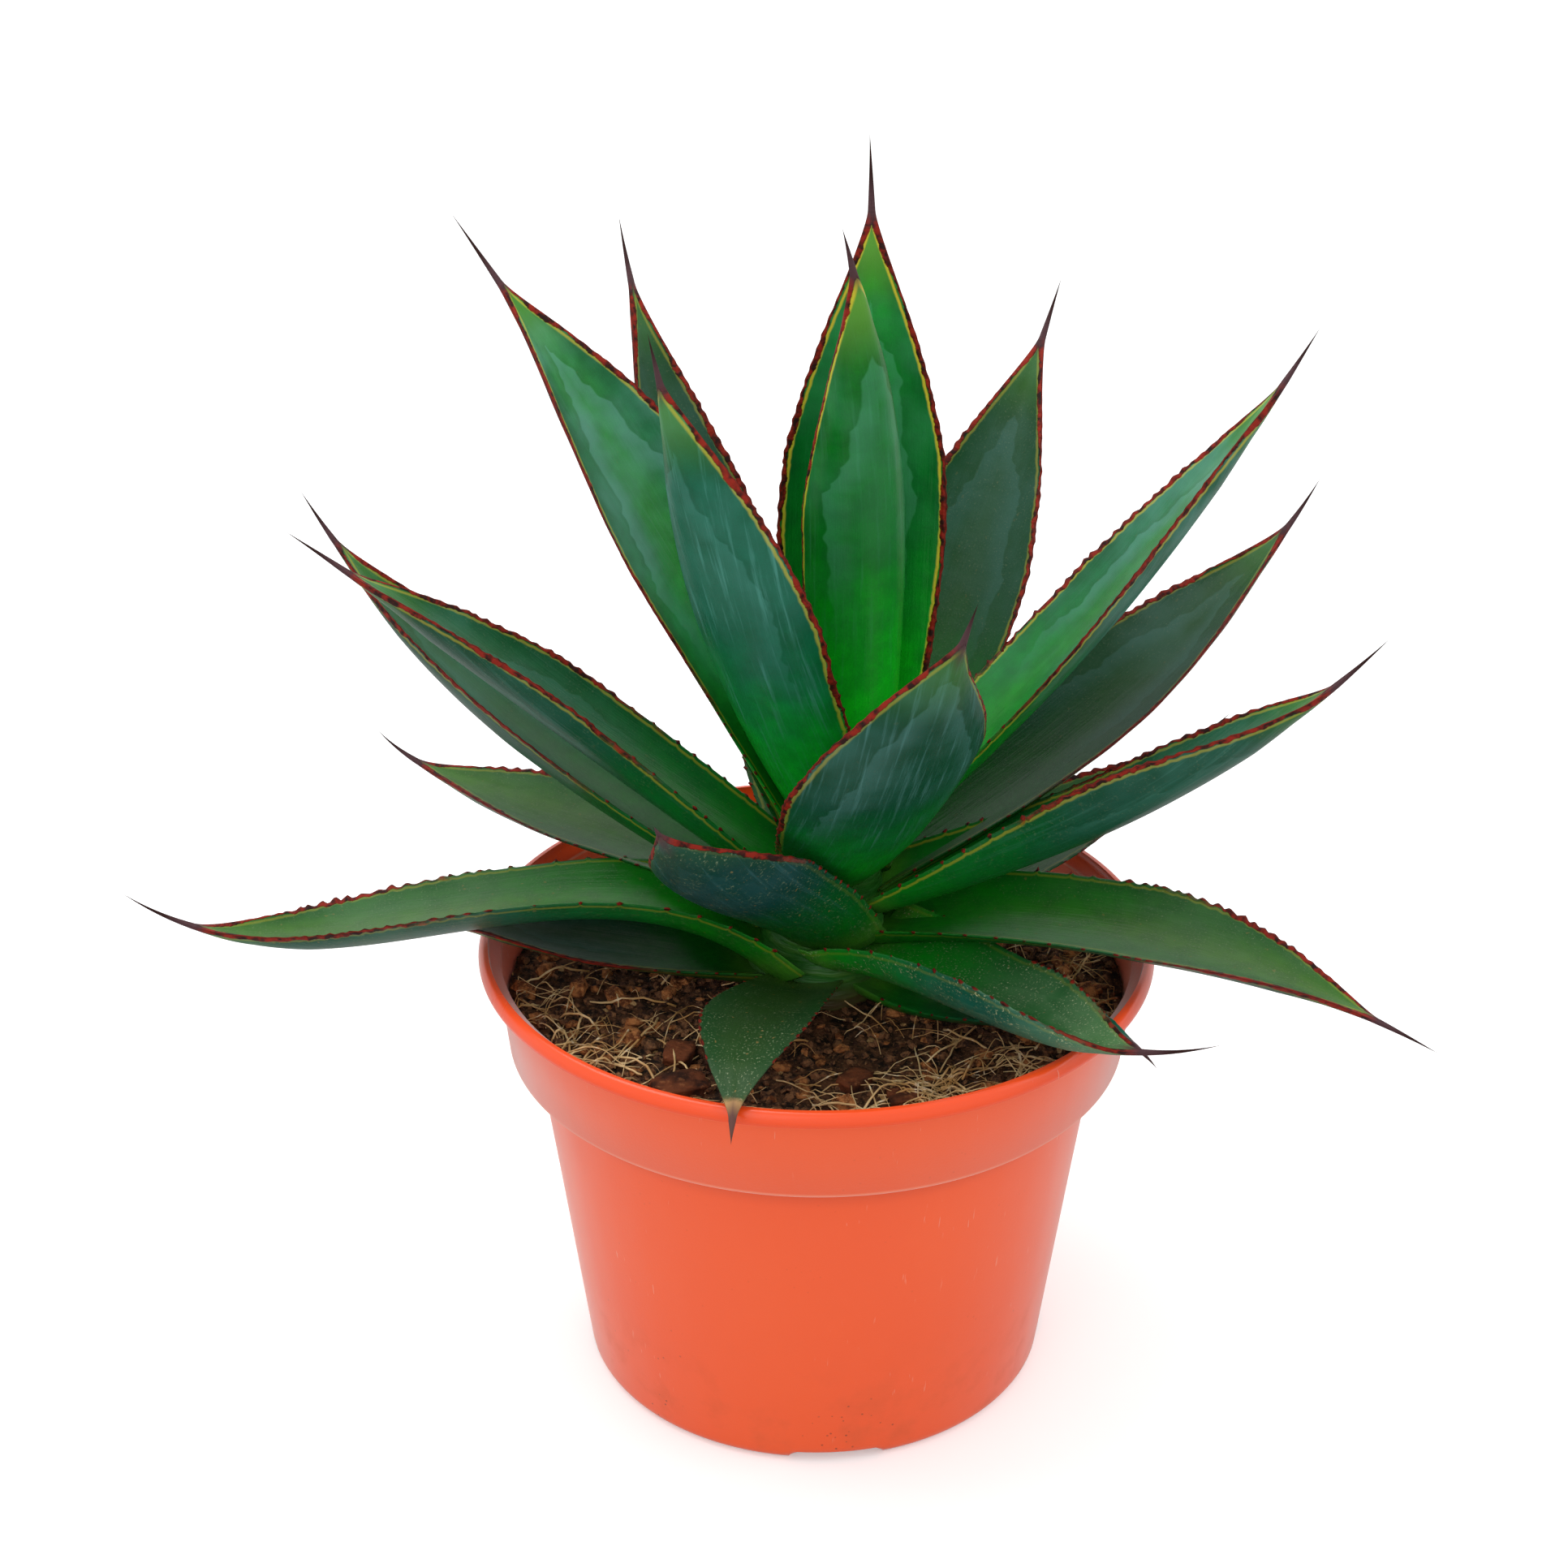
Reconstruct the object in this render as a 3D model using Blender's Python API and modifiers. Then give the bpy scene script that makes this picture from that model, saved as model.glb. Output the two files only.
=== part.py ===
"""Potted agave: a rosette of stiff leaves on a short leaning stem, in soil, in a thin plastic nursery pot.

Metres, +Z up. The origin is the middle of the pot's base, on the face that the pot stands on.
"""

import math

import bmesh
import bpy
from mathutils import Vector

MM = 0.001
CLEARANCE = 0.3 * MM           # gap kept between pieces that touch

# Pot: a tapered wall, a step out to a collar, and a lip round the top. Radii are to the outside.
POT_HEIGHT = 120.0 * MM
LIP_RADIUS = 85.0 * MM
LIP_DEPTH = 3.4 * MM
LIP_OVERHANG = 4.4 * MM        # from the collar out to the edge of the lip
LIP_ROLL = 1.2 * MM            # rounding of the lip
COLLAR_DEPTH = 27.0 * MM       # from the top of the lip down to the step
COLLAR_FLARE = 2.4 * MM        # how much wider the collar is at its top
STEP_WIDTH = 6.6 * MM
WALL_FLARE = 12.0 * MM         # how much wider the pot is under the step than at its foot
WALL = 1.2 * MM
FOOT_ROUND = 2.5 * MM
COLLAR_RADIUS = LIP_RADIUS - LIP_OVERHANG
STEP_RADIUS_ABOVE = COLLAR_RADIUS - COLLAR_FLARE
STEP_RADIUS_BELOW = STEP_RADIUS_ABOVE - STEP_WIDTH
STEP_HEIGHT = POT_HEIGHT - COLLAR_DEPTH
FOOT_RADIUS = STEP_RADIUS_BELOW - WALL_FLARE

# Base: drainage channels raised from below, each ending in a notch in the foot, with a hole in its roof.
CHANNELS = 4
CHANNEL_HEADING = -85.0        # degrees, the front one
CHANNEL_WIDTH = 20.0 * MM
CHANNEL_DEPTH = 3.0 * MM
CHANNEL_SPLAY = 2.0 * MM       # how much wider each side is at the bottom
CHANNEL_ROOF = CHANNEL_DEPTH + WALL
PAD_RADIUS = 22.0 * MM         # flat middle of the base
DRAIN_RADIUS = 4.0 * MM
DRAIN_INSET = 17.6 * MM        # from the foot's edge in to the middle of a hole
BEYOND = 5.0 * MM              # how far a cutter runs on past the face that it opens

# Soil.
SOIL_DROP = 15.0 * MM          # from the rim down to the soil at the wall
SOIL_EDGE = POT_HEIGHT - SOIL_DROP
SOIL_RISE = 1.5 * MM           # how much higher it is round the stem
MOUND_RADIUS = 20.0 * MM
MOUND_FOOT = LIP_RADIUS - 35.0 * MM

# Stem: a cone that leans to the right, on a rounded rootstock in the soil.
STEM_LEAN = math.radians(12.4)
STEM_WAIST = SOIL_EDGE + 3.0 * MM
STEM_TOP = STEM_WAIST + 50.0 * MM
STEM_RADIUS = 18.0 * MM
STEM_TIP_RADIUS = 3.0 * MM
STEM_TAPER = 0.8
ROOTSTOCK_RADIUS = 15.0 * MM
ROOTSTOCK_DEPTH = 28.0 * MM    # from the waist down to its lowest point
ROOTSTOCK_NECK = 12.0 * MM     # from the waist down to its full radius
ROOTSTOCK_ROUND = 4.0 * MM     # height of its rounded end
ROOTSTOCK_END = 9.0 * MM       # radius above the rounded end

# Leaf sections.
LEAF_THICKNESS = 4.0 * MM      # at the base
THIN_SHARE = 0.62              # thickness at the far end, as a share of that at the base
POINT_SHARE = 0.55             # further thinning at the very end, as a share
POINT_LENGTH = 0.2             # share of the blade over which it thins to the point
SECTION_POWER = 2.2            # how full the section is between its middle and its margins
MARGIN_THICKNESS = 0.7 * MM
SPINE_WIDTH = 2.2 * MM
BASE_SHARE = 0.45              # width where the leaf leaves the stem, as a share of its full width
WIDEST_AT = 0.52               # place of the full width along the blade
SWELL = 0.9                    # how quickly the blade widens from its base
NARROWING = 1.55               # how late the blade narrows to its tip
TIP_NIP = 0.25                 # how much it draws in just before the spine
EMBED = 9.0 * MM               # length made inside the stem before the seat is cut

# How finely round and curved bodies are divided.
POT_STEPS = 56
STEM_STEPS = 32
STEM_RINGS = 9
HOLE_STEPS = 20
RINGS = 12
SECTION_STEPS = 4
MIDRIB_SAMPLES = 60

# Each leaf, youngest first: heading on the stem (degrees), height on the stem, tip (x, y, z), droop of the
# midrib below its chord at a third and two thirds, its sideways bow there, full width, spine length (all mm),
# the heading that its back faces, its twist at base, middle and tip, and its cup angle there (degrees).
# Heights are above the soil at the wall.
LEAVES = {
    "leaf_spear": (-60, 51, (5, 4, 195), (1, 2), (5, 12), 43, 10, -52, (0, 0, 0), (210, 200, 200)),
    "leaf_back_tall": (85, 47, (12, 40, 208), (13, 6), (3, -3), 43, 18, 85, (0, 0, 0), (110, 60, 100)),
    "leaf_left_inner": (-145, 43, (-38, -26, 180), (13, 8), (2, 3), 48, 11, -135, (0, 0, 0), (110, 95, 120)),
    "leaf_right_tall": (12, 42, (121, 35, 162), (10, 10), (0, 0), 42, 15, 15, (0, 0, 0), (110, 70, 110)),
    "leaf_left_tall": (150, 39, (-89, 53, 185), (-8, -7), (-3, 0), 46, 20, 140, (0, 0, 0), (110, 70, 120)),
    "leaf_front_right": (-90, 35, (33, -73, 136), (13, 14), (-4, -11), 55, 10, -60, (0, 0, 0),
        (110, 75, 100)),
    "leaf_back_left": (125, 33, (-51, 101, 171), (8, 4), (2, 7), 33, 18, 118, (0, 0, 0), (100, 100, 140)),
    "leaf_back_right": (58, 33, (64, 95, 156), (10, 5), (2, 1), 42, 16, 57, (0, 0, 0), (100, 60, 100)),
    "leaf_left_upper": (-175, 29, (-129, 16, 117), (3, -2), (0, 0), 43, 17, 173, (0, 12, 5), (100, 110, 120)),
    "leaf_right_lower": (-22, 27, (132, -25, 107), (12, 14), (-3, -1), 50, 17, -10, (0, -20, 0),
        (100, 115, 110)),
    "leaf_right_middle": (35, 26, (129, 60, 114), (12, 18), (4, 2), 46, 14, 24, (0, 0, 0), (100, 70, 110)),
    "leaf_back_middle": (102, 24, (-8, 125, 85), (8, 8), (0, 0), 40, 16, 94, (0, 0, 0), (100, 60, 110)),
    "leaf_left_middle": (162, 22, (-131, 54, 113), (13, 20), (1, 2), 42, 15, 158, (0, 10, 0), (100, 90, 110)),
    "leaf_front_short": (-120, 20, (-37, -66, 79), (0, 10), (4, 4), 44, 2, -125, (0, 20, 15), (110, 90, 90)),
    "leaf_back_right_lower": (50, 20, (85, 85, 90), (12, 12), (-3, -3), 38, 16, 45, (0, 0, 0),
        (100, 60, 110)),
    "leaf_left_back_low": (145, 17, (-116, 57, 44), (-5, 15), (-4, -1), 35, 13, 156, (0, 0, 0),
        (100, 60, 120)),
    "leaf_right_low": (0, 16, (149, -46, 7), (-18, -17), (0, 0), 38, 16, -17, (0, 0, 0), (100, 60, 110)),
    "leaf_back_low": (74, 15, (40, 135, 55), (2, 6), (0, 0), 40, 16, 74, (0, 0, 0), (100, 60, 110)),
    "leaf_front_right_low": (-50, 14, (91, -80, 31), (-2, 12), (-5, -12), 42, 20, -44, (0, -18, 0),
        (100, 115, 110)),
    "leaf_left_low": (-165, 11, (-168, -25, 40), (-32, 32), (0, 0), 44, 19, -172, (0, 15, 0), (100, 70, 120)),
    "leaf_back_left_low": (122, 10, (-62, 84, 29), (2, 6), (0, 0), 36, 14, 128, (0, 0, 0), (100, 60, 110)),
    "leaf_back_right_under": (28, 9, (112, 66, 45), (2, 7), (0, 0), 34, 16, 31, (0, 0, 0), (100, 60, 110)),
    "leaf_front_small": (-105, 7, (-20, -92, 12), (-6, -20), (-3, -5), 27, 6, -102, (0, 0, 0), (80, 50, 60)),
    "leaf_left_under": (-175, 5, (-106, -4, 21), (-3, -3), (2, 2), 36, 12, -179, (0, 0, 0), (100, 50, 100)),
    "leaf_front_right_under": (-38, 5, (78, -70, 18), (11, -10), (7, 13), 17, 10, -43, (0, 0, 0),
        (100, 50, 100)),
}
SHARP_TIP = {"leaf_left_back_low": 0.8, "leaf_right_middle": 0.75}  # second midrib handle nearer the tip
MIDRIB_HANDLE = 2 / 3

# Where two leaves press together, the first is hollowed to the shape of the others.
PRESSED_BY = {
    "leaf_back_tall": ("leaf_spear",),
    "leaf_left_inner": ("leaf_spear", "leaf_back_tall"),
    "leaf_right_tall": ("leaf_spear", "leaf_back_tall", "leaf_left_inner"),
    "leaf_left_tall": ("leaf_left_inner", "leaf_right_tall"),
    "leaf_front_right": ("leaf_spear", "leaf_left_inner", "leaf_right_tall"),
    "leaf_back_right": ("leaf_back_left",),
    "leaf_left_upper": ("leaf_back_left", "leaf_front_right"),
    "leaf_right_lower": ("leaf_back_right",),
    "leaf_right_middle": ("leaf_right_lower",),
    "leaf_back_middle": ("leaf_right_middle",),
    "leaf_left_middle": ("leaf_back_middle",),
    "leaf_back_right_lower": ("leaf_back_middle", "leaf_right_middle"),
    "leaf_left_back_low": ("leaf_left_low",),
    "leaf_right_low": ("leaf_front_right_low", "leaf_back_right_lower"),
    "leaf_back_low": ("leaf_back_right_lower",),
}

# Loose pieces on the soil: heading, distance in from the wall, length, width, thickness, turn (degrees).
CHIPS = {
    "bark_chip_1": (-122, 16.2, 13, 9, 3.5, 20),
    "bark_chip_2": (-132, 28.2, 9, 7, 3.0, 75),
    "bark_chip_3": (-118, 30.2, 8, 6, 2.5, -30),
    "bark_chip_4": (-80, 28.2, 9, 6, 3.0, 50),
    "bark_chip_5": (-70, 18.2, 8, 7, 2.5, 10),
    "wood_splinter": (-73, 7.2, 16, 3.5, 1.5, 14),
}

CHIP_TOP = (0.82, 0.7, 0.9, 0.76)      # how far each corner is drawn in, above and below
CHIP_BOTTOM = (1.0, 0.86, 0.8, 1.0)
CHIP_BEVEL = 0.12                      # as a share of the thickness

# Base colour and roughness.
COLOURS = {
    "pot": ((0.84, 0.13, 0.05), 0.35),
    "soil": ((0.06, 0.03, 0.018), 0.95),
    "stem": ((0.28, 0.36, 0.10), 0.6),
    "leaf": ((0.045, 0.20, 0.10), 0.4),
    "bark": ((0.16, 0.065, 0.03), 0.85),
    "wood": ((0.62, 0.42, 0.22), 0.8),
}


def clear_scene():
    for thing in list(bpy.data.objects):
        bpy.data.objects.remove(thing, do_unlink=True)


def new_collection(name):
    collection = bpy.data.collections.new(name)
    bpy.context.scene.collection.children.link(collection)
    return collection


def finish(name):
    colour, roughness = COLOURS[name]
    material = bpy.data.materials.new(name)
    material.use_nodes = True
    shader = material.node_tree.nodes["Principled BSDF"]
    shader.inputs["Base Color"].default_value = (*colour, 1.0)
    shader.inputs["Roughness"].default_value = roughness
    shader.inputs["Metallic"].default_value = 0.0
    return material


def add_object(name, mesh, collection, material=None):
    thing = bpy.data.objects.new(name, mesh)
    if material:
        mesh.materials.append(material)
    collection.objects.link(thing)
    return thing


def as_cutter(thing):
    thing.hide_render = True
    thing.display_type = "WIRE"
    return thing


def turned(name, profile, collection, material=None, segments=POT_STEPS):
    """A closed body turned round Z from (radius, height) points that run down the outer side."""
    mesh = bpy.data.meshes.new(name)
    points = [(radius, 0.0, height) for radius, height in profile]
    mesh.from_pydata(points, [(i, i + 1) for i in range(len(points) - 1)], [])
    thing = add_object(name, mesh, collection, material)
    screw = thing.modifiers.new("turn", "SCREW")
    screw.axis = "Z"
    screw.angle = math.tau
    screw.steps = screw.render_steps = segments
    screw.use_merge_vertices = True
    screw.merge_threshold = 0.00001
    screw.use_smooth_shade = True
    return thing


def cut(thing, cutter, operation="DIFFERENCE"):
    boolean = thing.modifiers.new(operation.lower(), "BOOLEAN")
    boolean.operation = operation
    boolean.object = cutter
    return boolean


def pot_radius(height, inner=False):
    """Radius of the pot's wall at a height, outside or inside."""
    if height < STEP_HEIGHT + (WALL if inner else 0.0):
        share = height / STEP_HEIGHT
        outer = FOOT_RADIUS + (STEP_RADIUS_BELOW - FOOT_RADIUS) * share
    else:
        share = (height - STEP_HEIGHT) / (POT_HEIGHT - LIP_DEPTH - STEP_HEIGHT)
        outer = STEP_RADIUS_ABOVE + (COLLAR_RADIUS - STEP_RADIUS_ABOVE) * share
    return outer - WALL if inner else outer


def radial_bars(name, collection, inner_end, outer_end, width, splay, low, high):
    """One mesh of bars, one for each drainage channel, wider at the bottom by the splay."""
    mesh = bpy.data.meshes.new(name)
    shape = bmesh.new()
    for index in range(CHANNELS):
        heading = math.radians(CHANNEL_HEADING) + math.tau * index / CHANNELS
        out = Vector((math.cos(heading), math.sin(heading), 0.0))
        side = Vector((-out.y, out.x, 0.0))
        made = bmesh.ops.create_cube(shape, size=1.0)
        for vert in made["verts"]:
            along = outer_end if vert.co.x > 0 else inner_end
            top = vert.co.z > 0
            half = width / 2 + (0.0 if top else splay)
            across = math.copysign(half, vert.co.y)
            vert.co = out * along + side * across + Vector((0.0, 0.0, high if top else low))
    shape.to_mesh(mesh)
    shape.free()
    return add_object(name, mesh, collection)


def make_pot(parts, cutters):
    lip_low = POT_HEIGHT - LIP_DEPTH
    profile = [
        (0.0, WALL),
        (pot_radius(WALL, inner=True), WALL),
        (pot_radius(STEP_HEIGHT, inner=True), STEP_HEIGHT + WALL),
        (STEP_RADIUS_ABOVE - WALL, STEP_HEIGHT + WALL),
        (COLLAR_RADIUS - WALL, lip_low),
        (COLLAR_RADIUS + LIP_ROLL, lip_low + LIP_ROLL),
        (LIP_RADIUS - 2 * LIP_ROLL, POT_HEIGHT),
        (LIP_RADIUS - LIP_ROLL, POT_HEIGHT),
        (LIP_RADIUS - 0.4 * LIP_ROLL, POT_HEIGHT - 0.7 * LIP_ROLL),
        (LIP_RADIUS, lip_low + 0.5 * LIP_ROLL),
        (LIP_RADIUS - 0.25 * LIP_ROLL, lip_low),
        (COLLAR_RADIUS, lip_low),
        (STEP_RADIUS_ABOVE, STEP_HEIGHT),
        (STEP_RADIUS_BELOW, STEP_HEIGHT),
        (pot_radius(FOOT_ROUND), FOOT_ROUND),
        (FOOT_RADIUS - 0.3 * FOOT_ROUND, 0.3 * FOOT_ROUND),
        (FOOT_RADIUS - FOOT_ROUND, 0.0),
        (0.0, 0.0),
    ]
    pot = turned("pot", profile, parts, finish("pot"))
    reach = FOOT_RADIUS + BEYOND
    hoods = radial_bars("channel_hoods", cutters, PAD_RADIUS, reach, CHANNEL_WIDTH + 2 * WALL,
                        CHANNEL_SPLAY, 0.5 * WALL, CHANNEL_ROOF)
    mid_wall = [
        (0.0, 2 * CHANNEL_ROOF),
        (pot_radius(2 * CHANNEL_ROOF) - 0.5 * WALL, 2 * CHANNEL_ROOF),
        (pot_radius(0.0) - 0.5 * WALL, 0.0),
        (0.0, 0.0),
    ]
    cut(hoods, as_cutter(turned("foot_core", mid_wall, cutters)), "INTERSECT")
    channels = radial_bars("channels", cutters, PAD_RADIUS + WALL, reach, CHANNEL_WIDTH,
                           CHANNEL_SPLAY, -CLEARANCE, CHANNEL_DEPTH)
    drains = bpy.data.meshes.new("drains")
    shape = bmesh.new()
    for index in range(CHANNELS):
        heading = math.radians(CHANNEL_HEADING) + math.tau * index / CHANNELS
        made = bmesh.ops.create_cone(shape, cap_ends=True, segments=HOLE_STEPS, radius1=DRAIN_RADIUS,
                                     radius2=DRAIN_RADIUS, depth=4 * CHANNEL_ROOF)
        circle = FOOT_RADIUS - DRAIN_INSET
        place = Vector((math.cos(heading) * circle, math.sin(heading) * circle, CHANNEL_ROOF))
        bmesh.ops.translate(shape, verts=made["verts"], vec=place)
    shape.to_mesh(drains)
    shape.free()
    cut(pot, as_cutter(hoods), "UNION")
    cut(pot, as_cutter(channels))
    cut(pot, as_cutter(add_object("drains", drains, cutters)))
    return pot


def soil_level(radius):
    """Height of the soil surface at a distance from the middle."""
    share = (MOUND_FOOT - radius) / (MOUND_FOOT - MOUND_RADIUS)
    share = min(1.0, max(0.0, share))
    return SOIL_EDGE + SOIL_RISE * share * share * (3 - 2 * share)


def make_soil(parts, cutters, stem_cutter):
    bottom = WALL + CLEARANCE
    ledge = STEP_HEIGHT + WALL + CLEARANCE
    top_radius = pot_radius(SOIL_EDGE, inner=True) - CLEARANCE
    lower_radius = pot_radius(STEP_HEIGHT, inner=True) - CLEARANCE
    levels = [0.0, MOUND_RADIUS * 0.5, MOUND_RADIUS, 0.5 * (MOUND_RADIUS + MOUND_FOOT), MOUND_FOOT]
    profile = [(radius, soil_level(radius)) for radius in levels]
    profile += [
        (top_radius, SOIL_EDGE),
        (STEP_RADIUS_ABOVE - WALL - CLEARANCE, ledge),
        (lower_radius, ledge),
        (pot_radius(bottom, inner=True) - CLEARANCE, bottom),
        (0.0, bottom),
    ]
    soil = turned("soil", profile, parts, finish("soil"))
    hood_room = radial_bars("hood_room", cutters, PAD_RADIUS - CLEARANCE, FOOT_RADIUS + BEYOND,
                            CHANNEL_WIDTH + 2 * (WALL + CLEARANCE), CHANNEL_SPLAY, 0.0,
                            CHANNEL_ROOF + CLEARANCE)
    cut(soil, as_cutter(hood_room))
    cut(soil, stem_cutter)
    return soil


def stem_radius(height):
    """Radius of the stem above its waist, at a height along it."""
    share = min(1.0, max(0.0, (STEM_TOP - height) / (STEM_TOP - STEM_WAIST)))
    return STEM_TIP_RADIUS + (STEM_RADIUS - STEM_TIP_RADIUS) * share ** STEM_TAPER


def stem_axis(height):
    """Point of the stem's leaning axis at a height."""
    return Vector(((height - STEM_WAIST) * math.tan(STEM_LEAN), 0.0, height))


def stem_body(name, collection, grow, material=None):
    """The stem, or its cutter, which is larger by the grow distance."""
    heights = [STEM_TOP - (STEM_TOP - STEM_WAIST) * step / STEM_RINGS for step in range(STEM_RINGS + 1)]
    lowest = STEM_WAIST - ROOTSTOCK_DEPTH
    profile = [(0.0, STEM_TOP + grow)]
    profile += [(stem_radius(height) + grow, height) for height in heights]
    profile += [
        (ROOTSTOCK_RADIUS + grow, STEM_WAIST - ROOTSTOCK_NECK),
        (ROOTSTOCK_END + grow, lowest + ROOTSTOCK_ROUND),
        (0.0, lowest - grow),
    ]
    centred = [(radius, height - STEM_WAIST) for radius, height in profile]
    stem = turned(name, centred, collection, material, segments=STEM_STEPS)
    stem.location = stem_axis(STEM_WAIST)
    stem.rotation_euler = (0.0, STEM_LEAN, 0.0)
    return stem


def through(values, share):
    """Value at a share of the blade, on the parabola through three values at 0, a half and 1."""
    first, middle, last = values
    return (first * (1 - share) * (1 - 2 * share) + middle * 4 * share * (1 - share)
            + last * share * (2 * share - 1))


def blade_width(share):
    """Width of the blade along its length, as a share of the full width."""
    if share < WIDEST_AT:
        return BASE_SHARE + (1 - BASE_SHARE) * math.sin(share / WIDEST_AT * math.pi / 2) ** SWELL
    fall = (share - WIDEST_AT) / (1 - WIDEST_AT)
    return (1 - fall ** NARROWING) * (1 - TIP_NIP * fall ** 4)


def midrib(name):
    """Bezier points of a leaf's midrib, from the stem's surface to the tip of the spine."""
    heading, height, tip, droop, bow, _, _, facing, _, _ = LEAVES[name]
    height = SOIL_EDGE + height * MM
    out = Vector((math.cos(math.radians(heading)), math.sin(math.radians(heading)), 0.0))
    base = stem_axis(height) + out * stem_radius(height)
    tip = Vector((0.0, 0.0, SOIL_EDGE)) + Vector(tip) * MM
    chord = tip - base
    across = Vector((-math.sin(math.radians(facing)), math.cos(math.radians(facing)), 0.0))
    upper = chord.cross(across).normalized()
    across = upper.cross(chord).normalized()
    first = base + chord / 3 - upper * droop[0] * MM + across * bow[0] * MM
    second = base + chord * SHARP_TIP.get(name, MIDRIB_HANDLE)
    second += across * bow[1] * MM - upper * droop[1] * MM
    return base, first, second, tip


def bezier(points, share):
    a, b, c, d = points
    rest = 1 - share
    place = a * rest ** 3 + b * (3 * rest ** 2 * share) + c * (3 * rest * share ** 2) + d * share ** 3
    along = (b - a) * rest ** 2 + (c - b) * (2 * rest * share) + (d - c) * share ** 2
    return place, along.normalized()


def leaf_section(name, points, share, blade_share, back=0.0, grow=0.0):
    """One closed section: the upper face from margin to margin, then the lower face back."""
    width, _, facing, twist, cup = LEAVES[name][5:]
    place, along = bezier(points, share)
    place = place - along * back
    flat = Vector((-math.sin(math.radians(facing)), math.cos(math.radians(facing)), 0.0))
    upper = along.cross(flat).normalized()
    across = upper.cross(along).normalized()
    turn = math.radians(through(twist, blade_share))
    across, upper = (across * math.cos(turn) + upper * math.sin(turn),
                     upper * math.cos(turn) - across * math.sin(turn))
    angle = math.radians(through(cup, blade_share))
    chord = max(width * MM * blade_width(blade_share), SPINE_WIDTH) + 2 * grow
    radius = chord / angle
    thick = LEAF_THICKNESS * (1 - (1 - THIN_SHARE) * blade_share)
    thick *= min(1.0, max(POINT_SHARE, (1 - blade_share) / POINT_LENGTH))
    shares = [2 * step / SECTION_STEPS - 1 for step in range(SECTION_STEPS + 1)]
    ring = []
    for side, steps in ((1, shares), (-1, shares[::-1])):
        for step in steps:
            depth = 0.5 * (thick * (1 - abs(step) ** SECTION_POWER) + MARGIN_THICKNESS) + grow
            reach = radius - side * depth
            bend = step * angle / 2
            ring.append(place + across * (reach * math.sin(bend)) + upper * (radius - reach * math.cos(bend)))
    return ring


def leaf_body(title, name, collection, grow, material=None):
    """One leaf, or its cutter, which is larger by the grow distance."""
    points = midrib(name)
    spine = LEAVES[name][6] * MM
    places = [bezier(points, step / MIDRIB_SAMPLES)[0] for step in range(MIDRIB_SAMPLES + 1)]
    run = [0.0]
    for before, after in zip(places, places[1:]):
        run.append(run[-1] + (after - before).length)
    blade = run[-1] - spine
    shape = bmesh.new()
    rings = [leaf_section(name, points, 0.0, 0.0, back=EMBED, grow=grow)]
    for ring in range(RINGS):
        blade_share = ring / (RINGS - 1)
        wanted = blade * blade_share
        index = max(i for i in range(MIDRIB_SAMPLES) if run[i] <= wanted)
        share = (index + (wanted - run[index]) / (run[index + 1] - run[index])) / MIDRIB_SAMPLES
        rings.append(leaf_section(name, points, share, blade_share, grow=grow))
    loops = [[shape.verts.new(point) for point in ring] for ring in rings]
    count = len(loops[0])
    shape.faces.new(loops[0])
    for near, far in zip(loops, loops[1:]):
        for i in range(count):
            j = (i + 1) % count
            shape.faces.new((near[i], far[i], far[j], near[j]))
    point = shape.verts.new(points[3] + (points[3] - points[2]).normalized() * grow)
    for i in range(count):
        shape.faces.new((loops[-1][i], point, loops[-1][(i + 1) % count]))
    bmesh.ops.recalc_face_normals(shape, faces=shape.faces)
    if shape.calc_volume(signed=True) < 0:
        bmesh.ops.reverse_faces(shape, faces=shape.faces)
    mesh = bpy.data.meshes.new(title)
    shape.to_mesh(mesh)
    shape.free()
    mesh.shade_smooth()
    return add_object(title, mesh, collection, material)


def make_chip(name, parts, material):
    """A flat flake with broken corners, lying on the soil."""
    heading, inset, length, width, thickness, turn = CHIPS[name]
    shape = bmesh.new()
    bmesh.ops.create_cube(shape, size=1.0)
    for index, vert in enumerate(shape.verts):
        top = vert.co.z > 0
        taper = (CHIP_TOP if top else CHIP_BOTTOM)[index // 2]
        vert.co.x *= length * MM * taper
        vert.co.y *= width * MM * taper
        vert.co.z = thickness * MM if top else 0.0
    bmesh.ops.bevel(shape, geom=list(shape.edges), offset=CHIP_BEVEL * thickness * MM, segments=1,
                    profile=0.5, affect="EDGES", material=-1)
    mesh = bpy.data.meshes.new(name)
    shape.to_mesh(mesh)
    shape.free()
    chip = add_object(name, mesh, parts, material)
    away = math.radians(heading)
    distance = pot_radius(SOIL_EDGE, inner=True) - inset * MM
    chip.location = (math.cos(away) * distance, math.sin(away) * distance, SOIL_EDGE + CLEARANCE)
    chip.rotation_euler = (0.0, 0.0, math.radians(turn))
    return chip


def main():
    clear_scene()
    parts = new_collection("potted_agave")
    cutters = new_collection("cutters")
    stem_cutter = as_cutter(stem_body("stem_room", cutters, CLEARANCE))
    make_pot(parts, cutters)
    make_soil(parts, cutters, stem_cutter)
    stem_body("stem", parts, 0.0, finish("stem"))
    leaf_finish = finish("leaf")
    pressing = {name for names in PRESSED_BY.values() for name in names}
    rooms = {}
    for name in sorted(pressing):
        rooms[name] = as_cutter(leaf_body(name + "_room", name, cutters, CLEARANCE))
    for name in LEAVES:
        leaf = leaf_body(name, name, parts, 0.0, leaf_finish)
        cut(leaf, stem_cutter)
        for other in PRESSED_BY.get(name, ()):
            cut(leaf, rooms[other])
    bark = finish("bark")
    wood = finish("wood")
    for name in CHIPS:
        make_chip(name, parts, wood if name == "wood_splinter" else bark)


main()
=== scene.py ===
"""Potted agave: the finished plant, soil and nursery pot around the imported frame, with its stage."""

import math
import random

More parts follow.
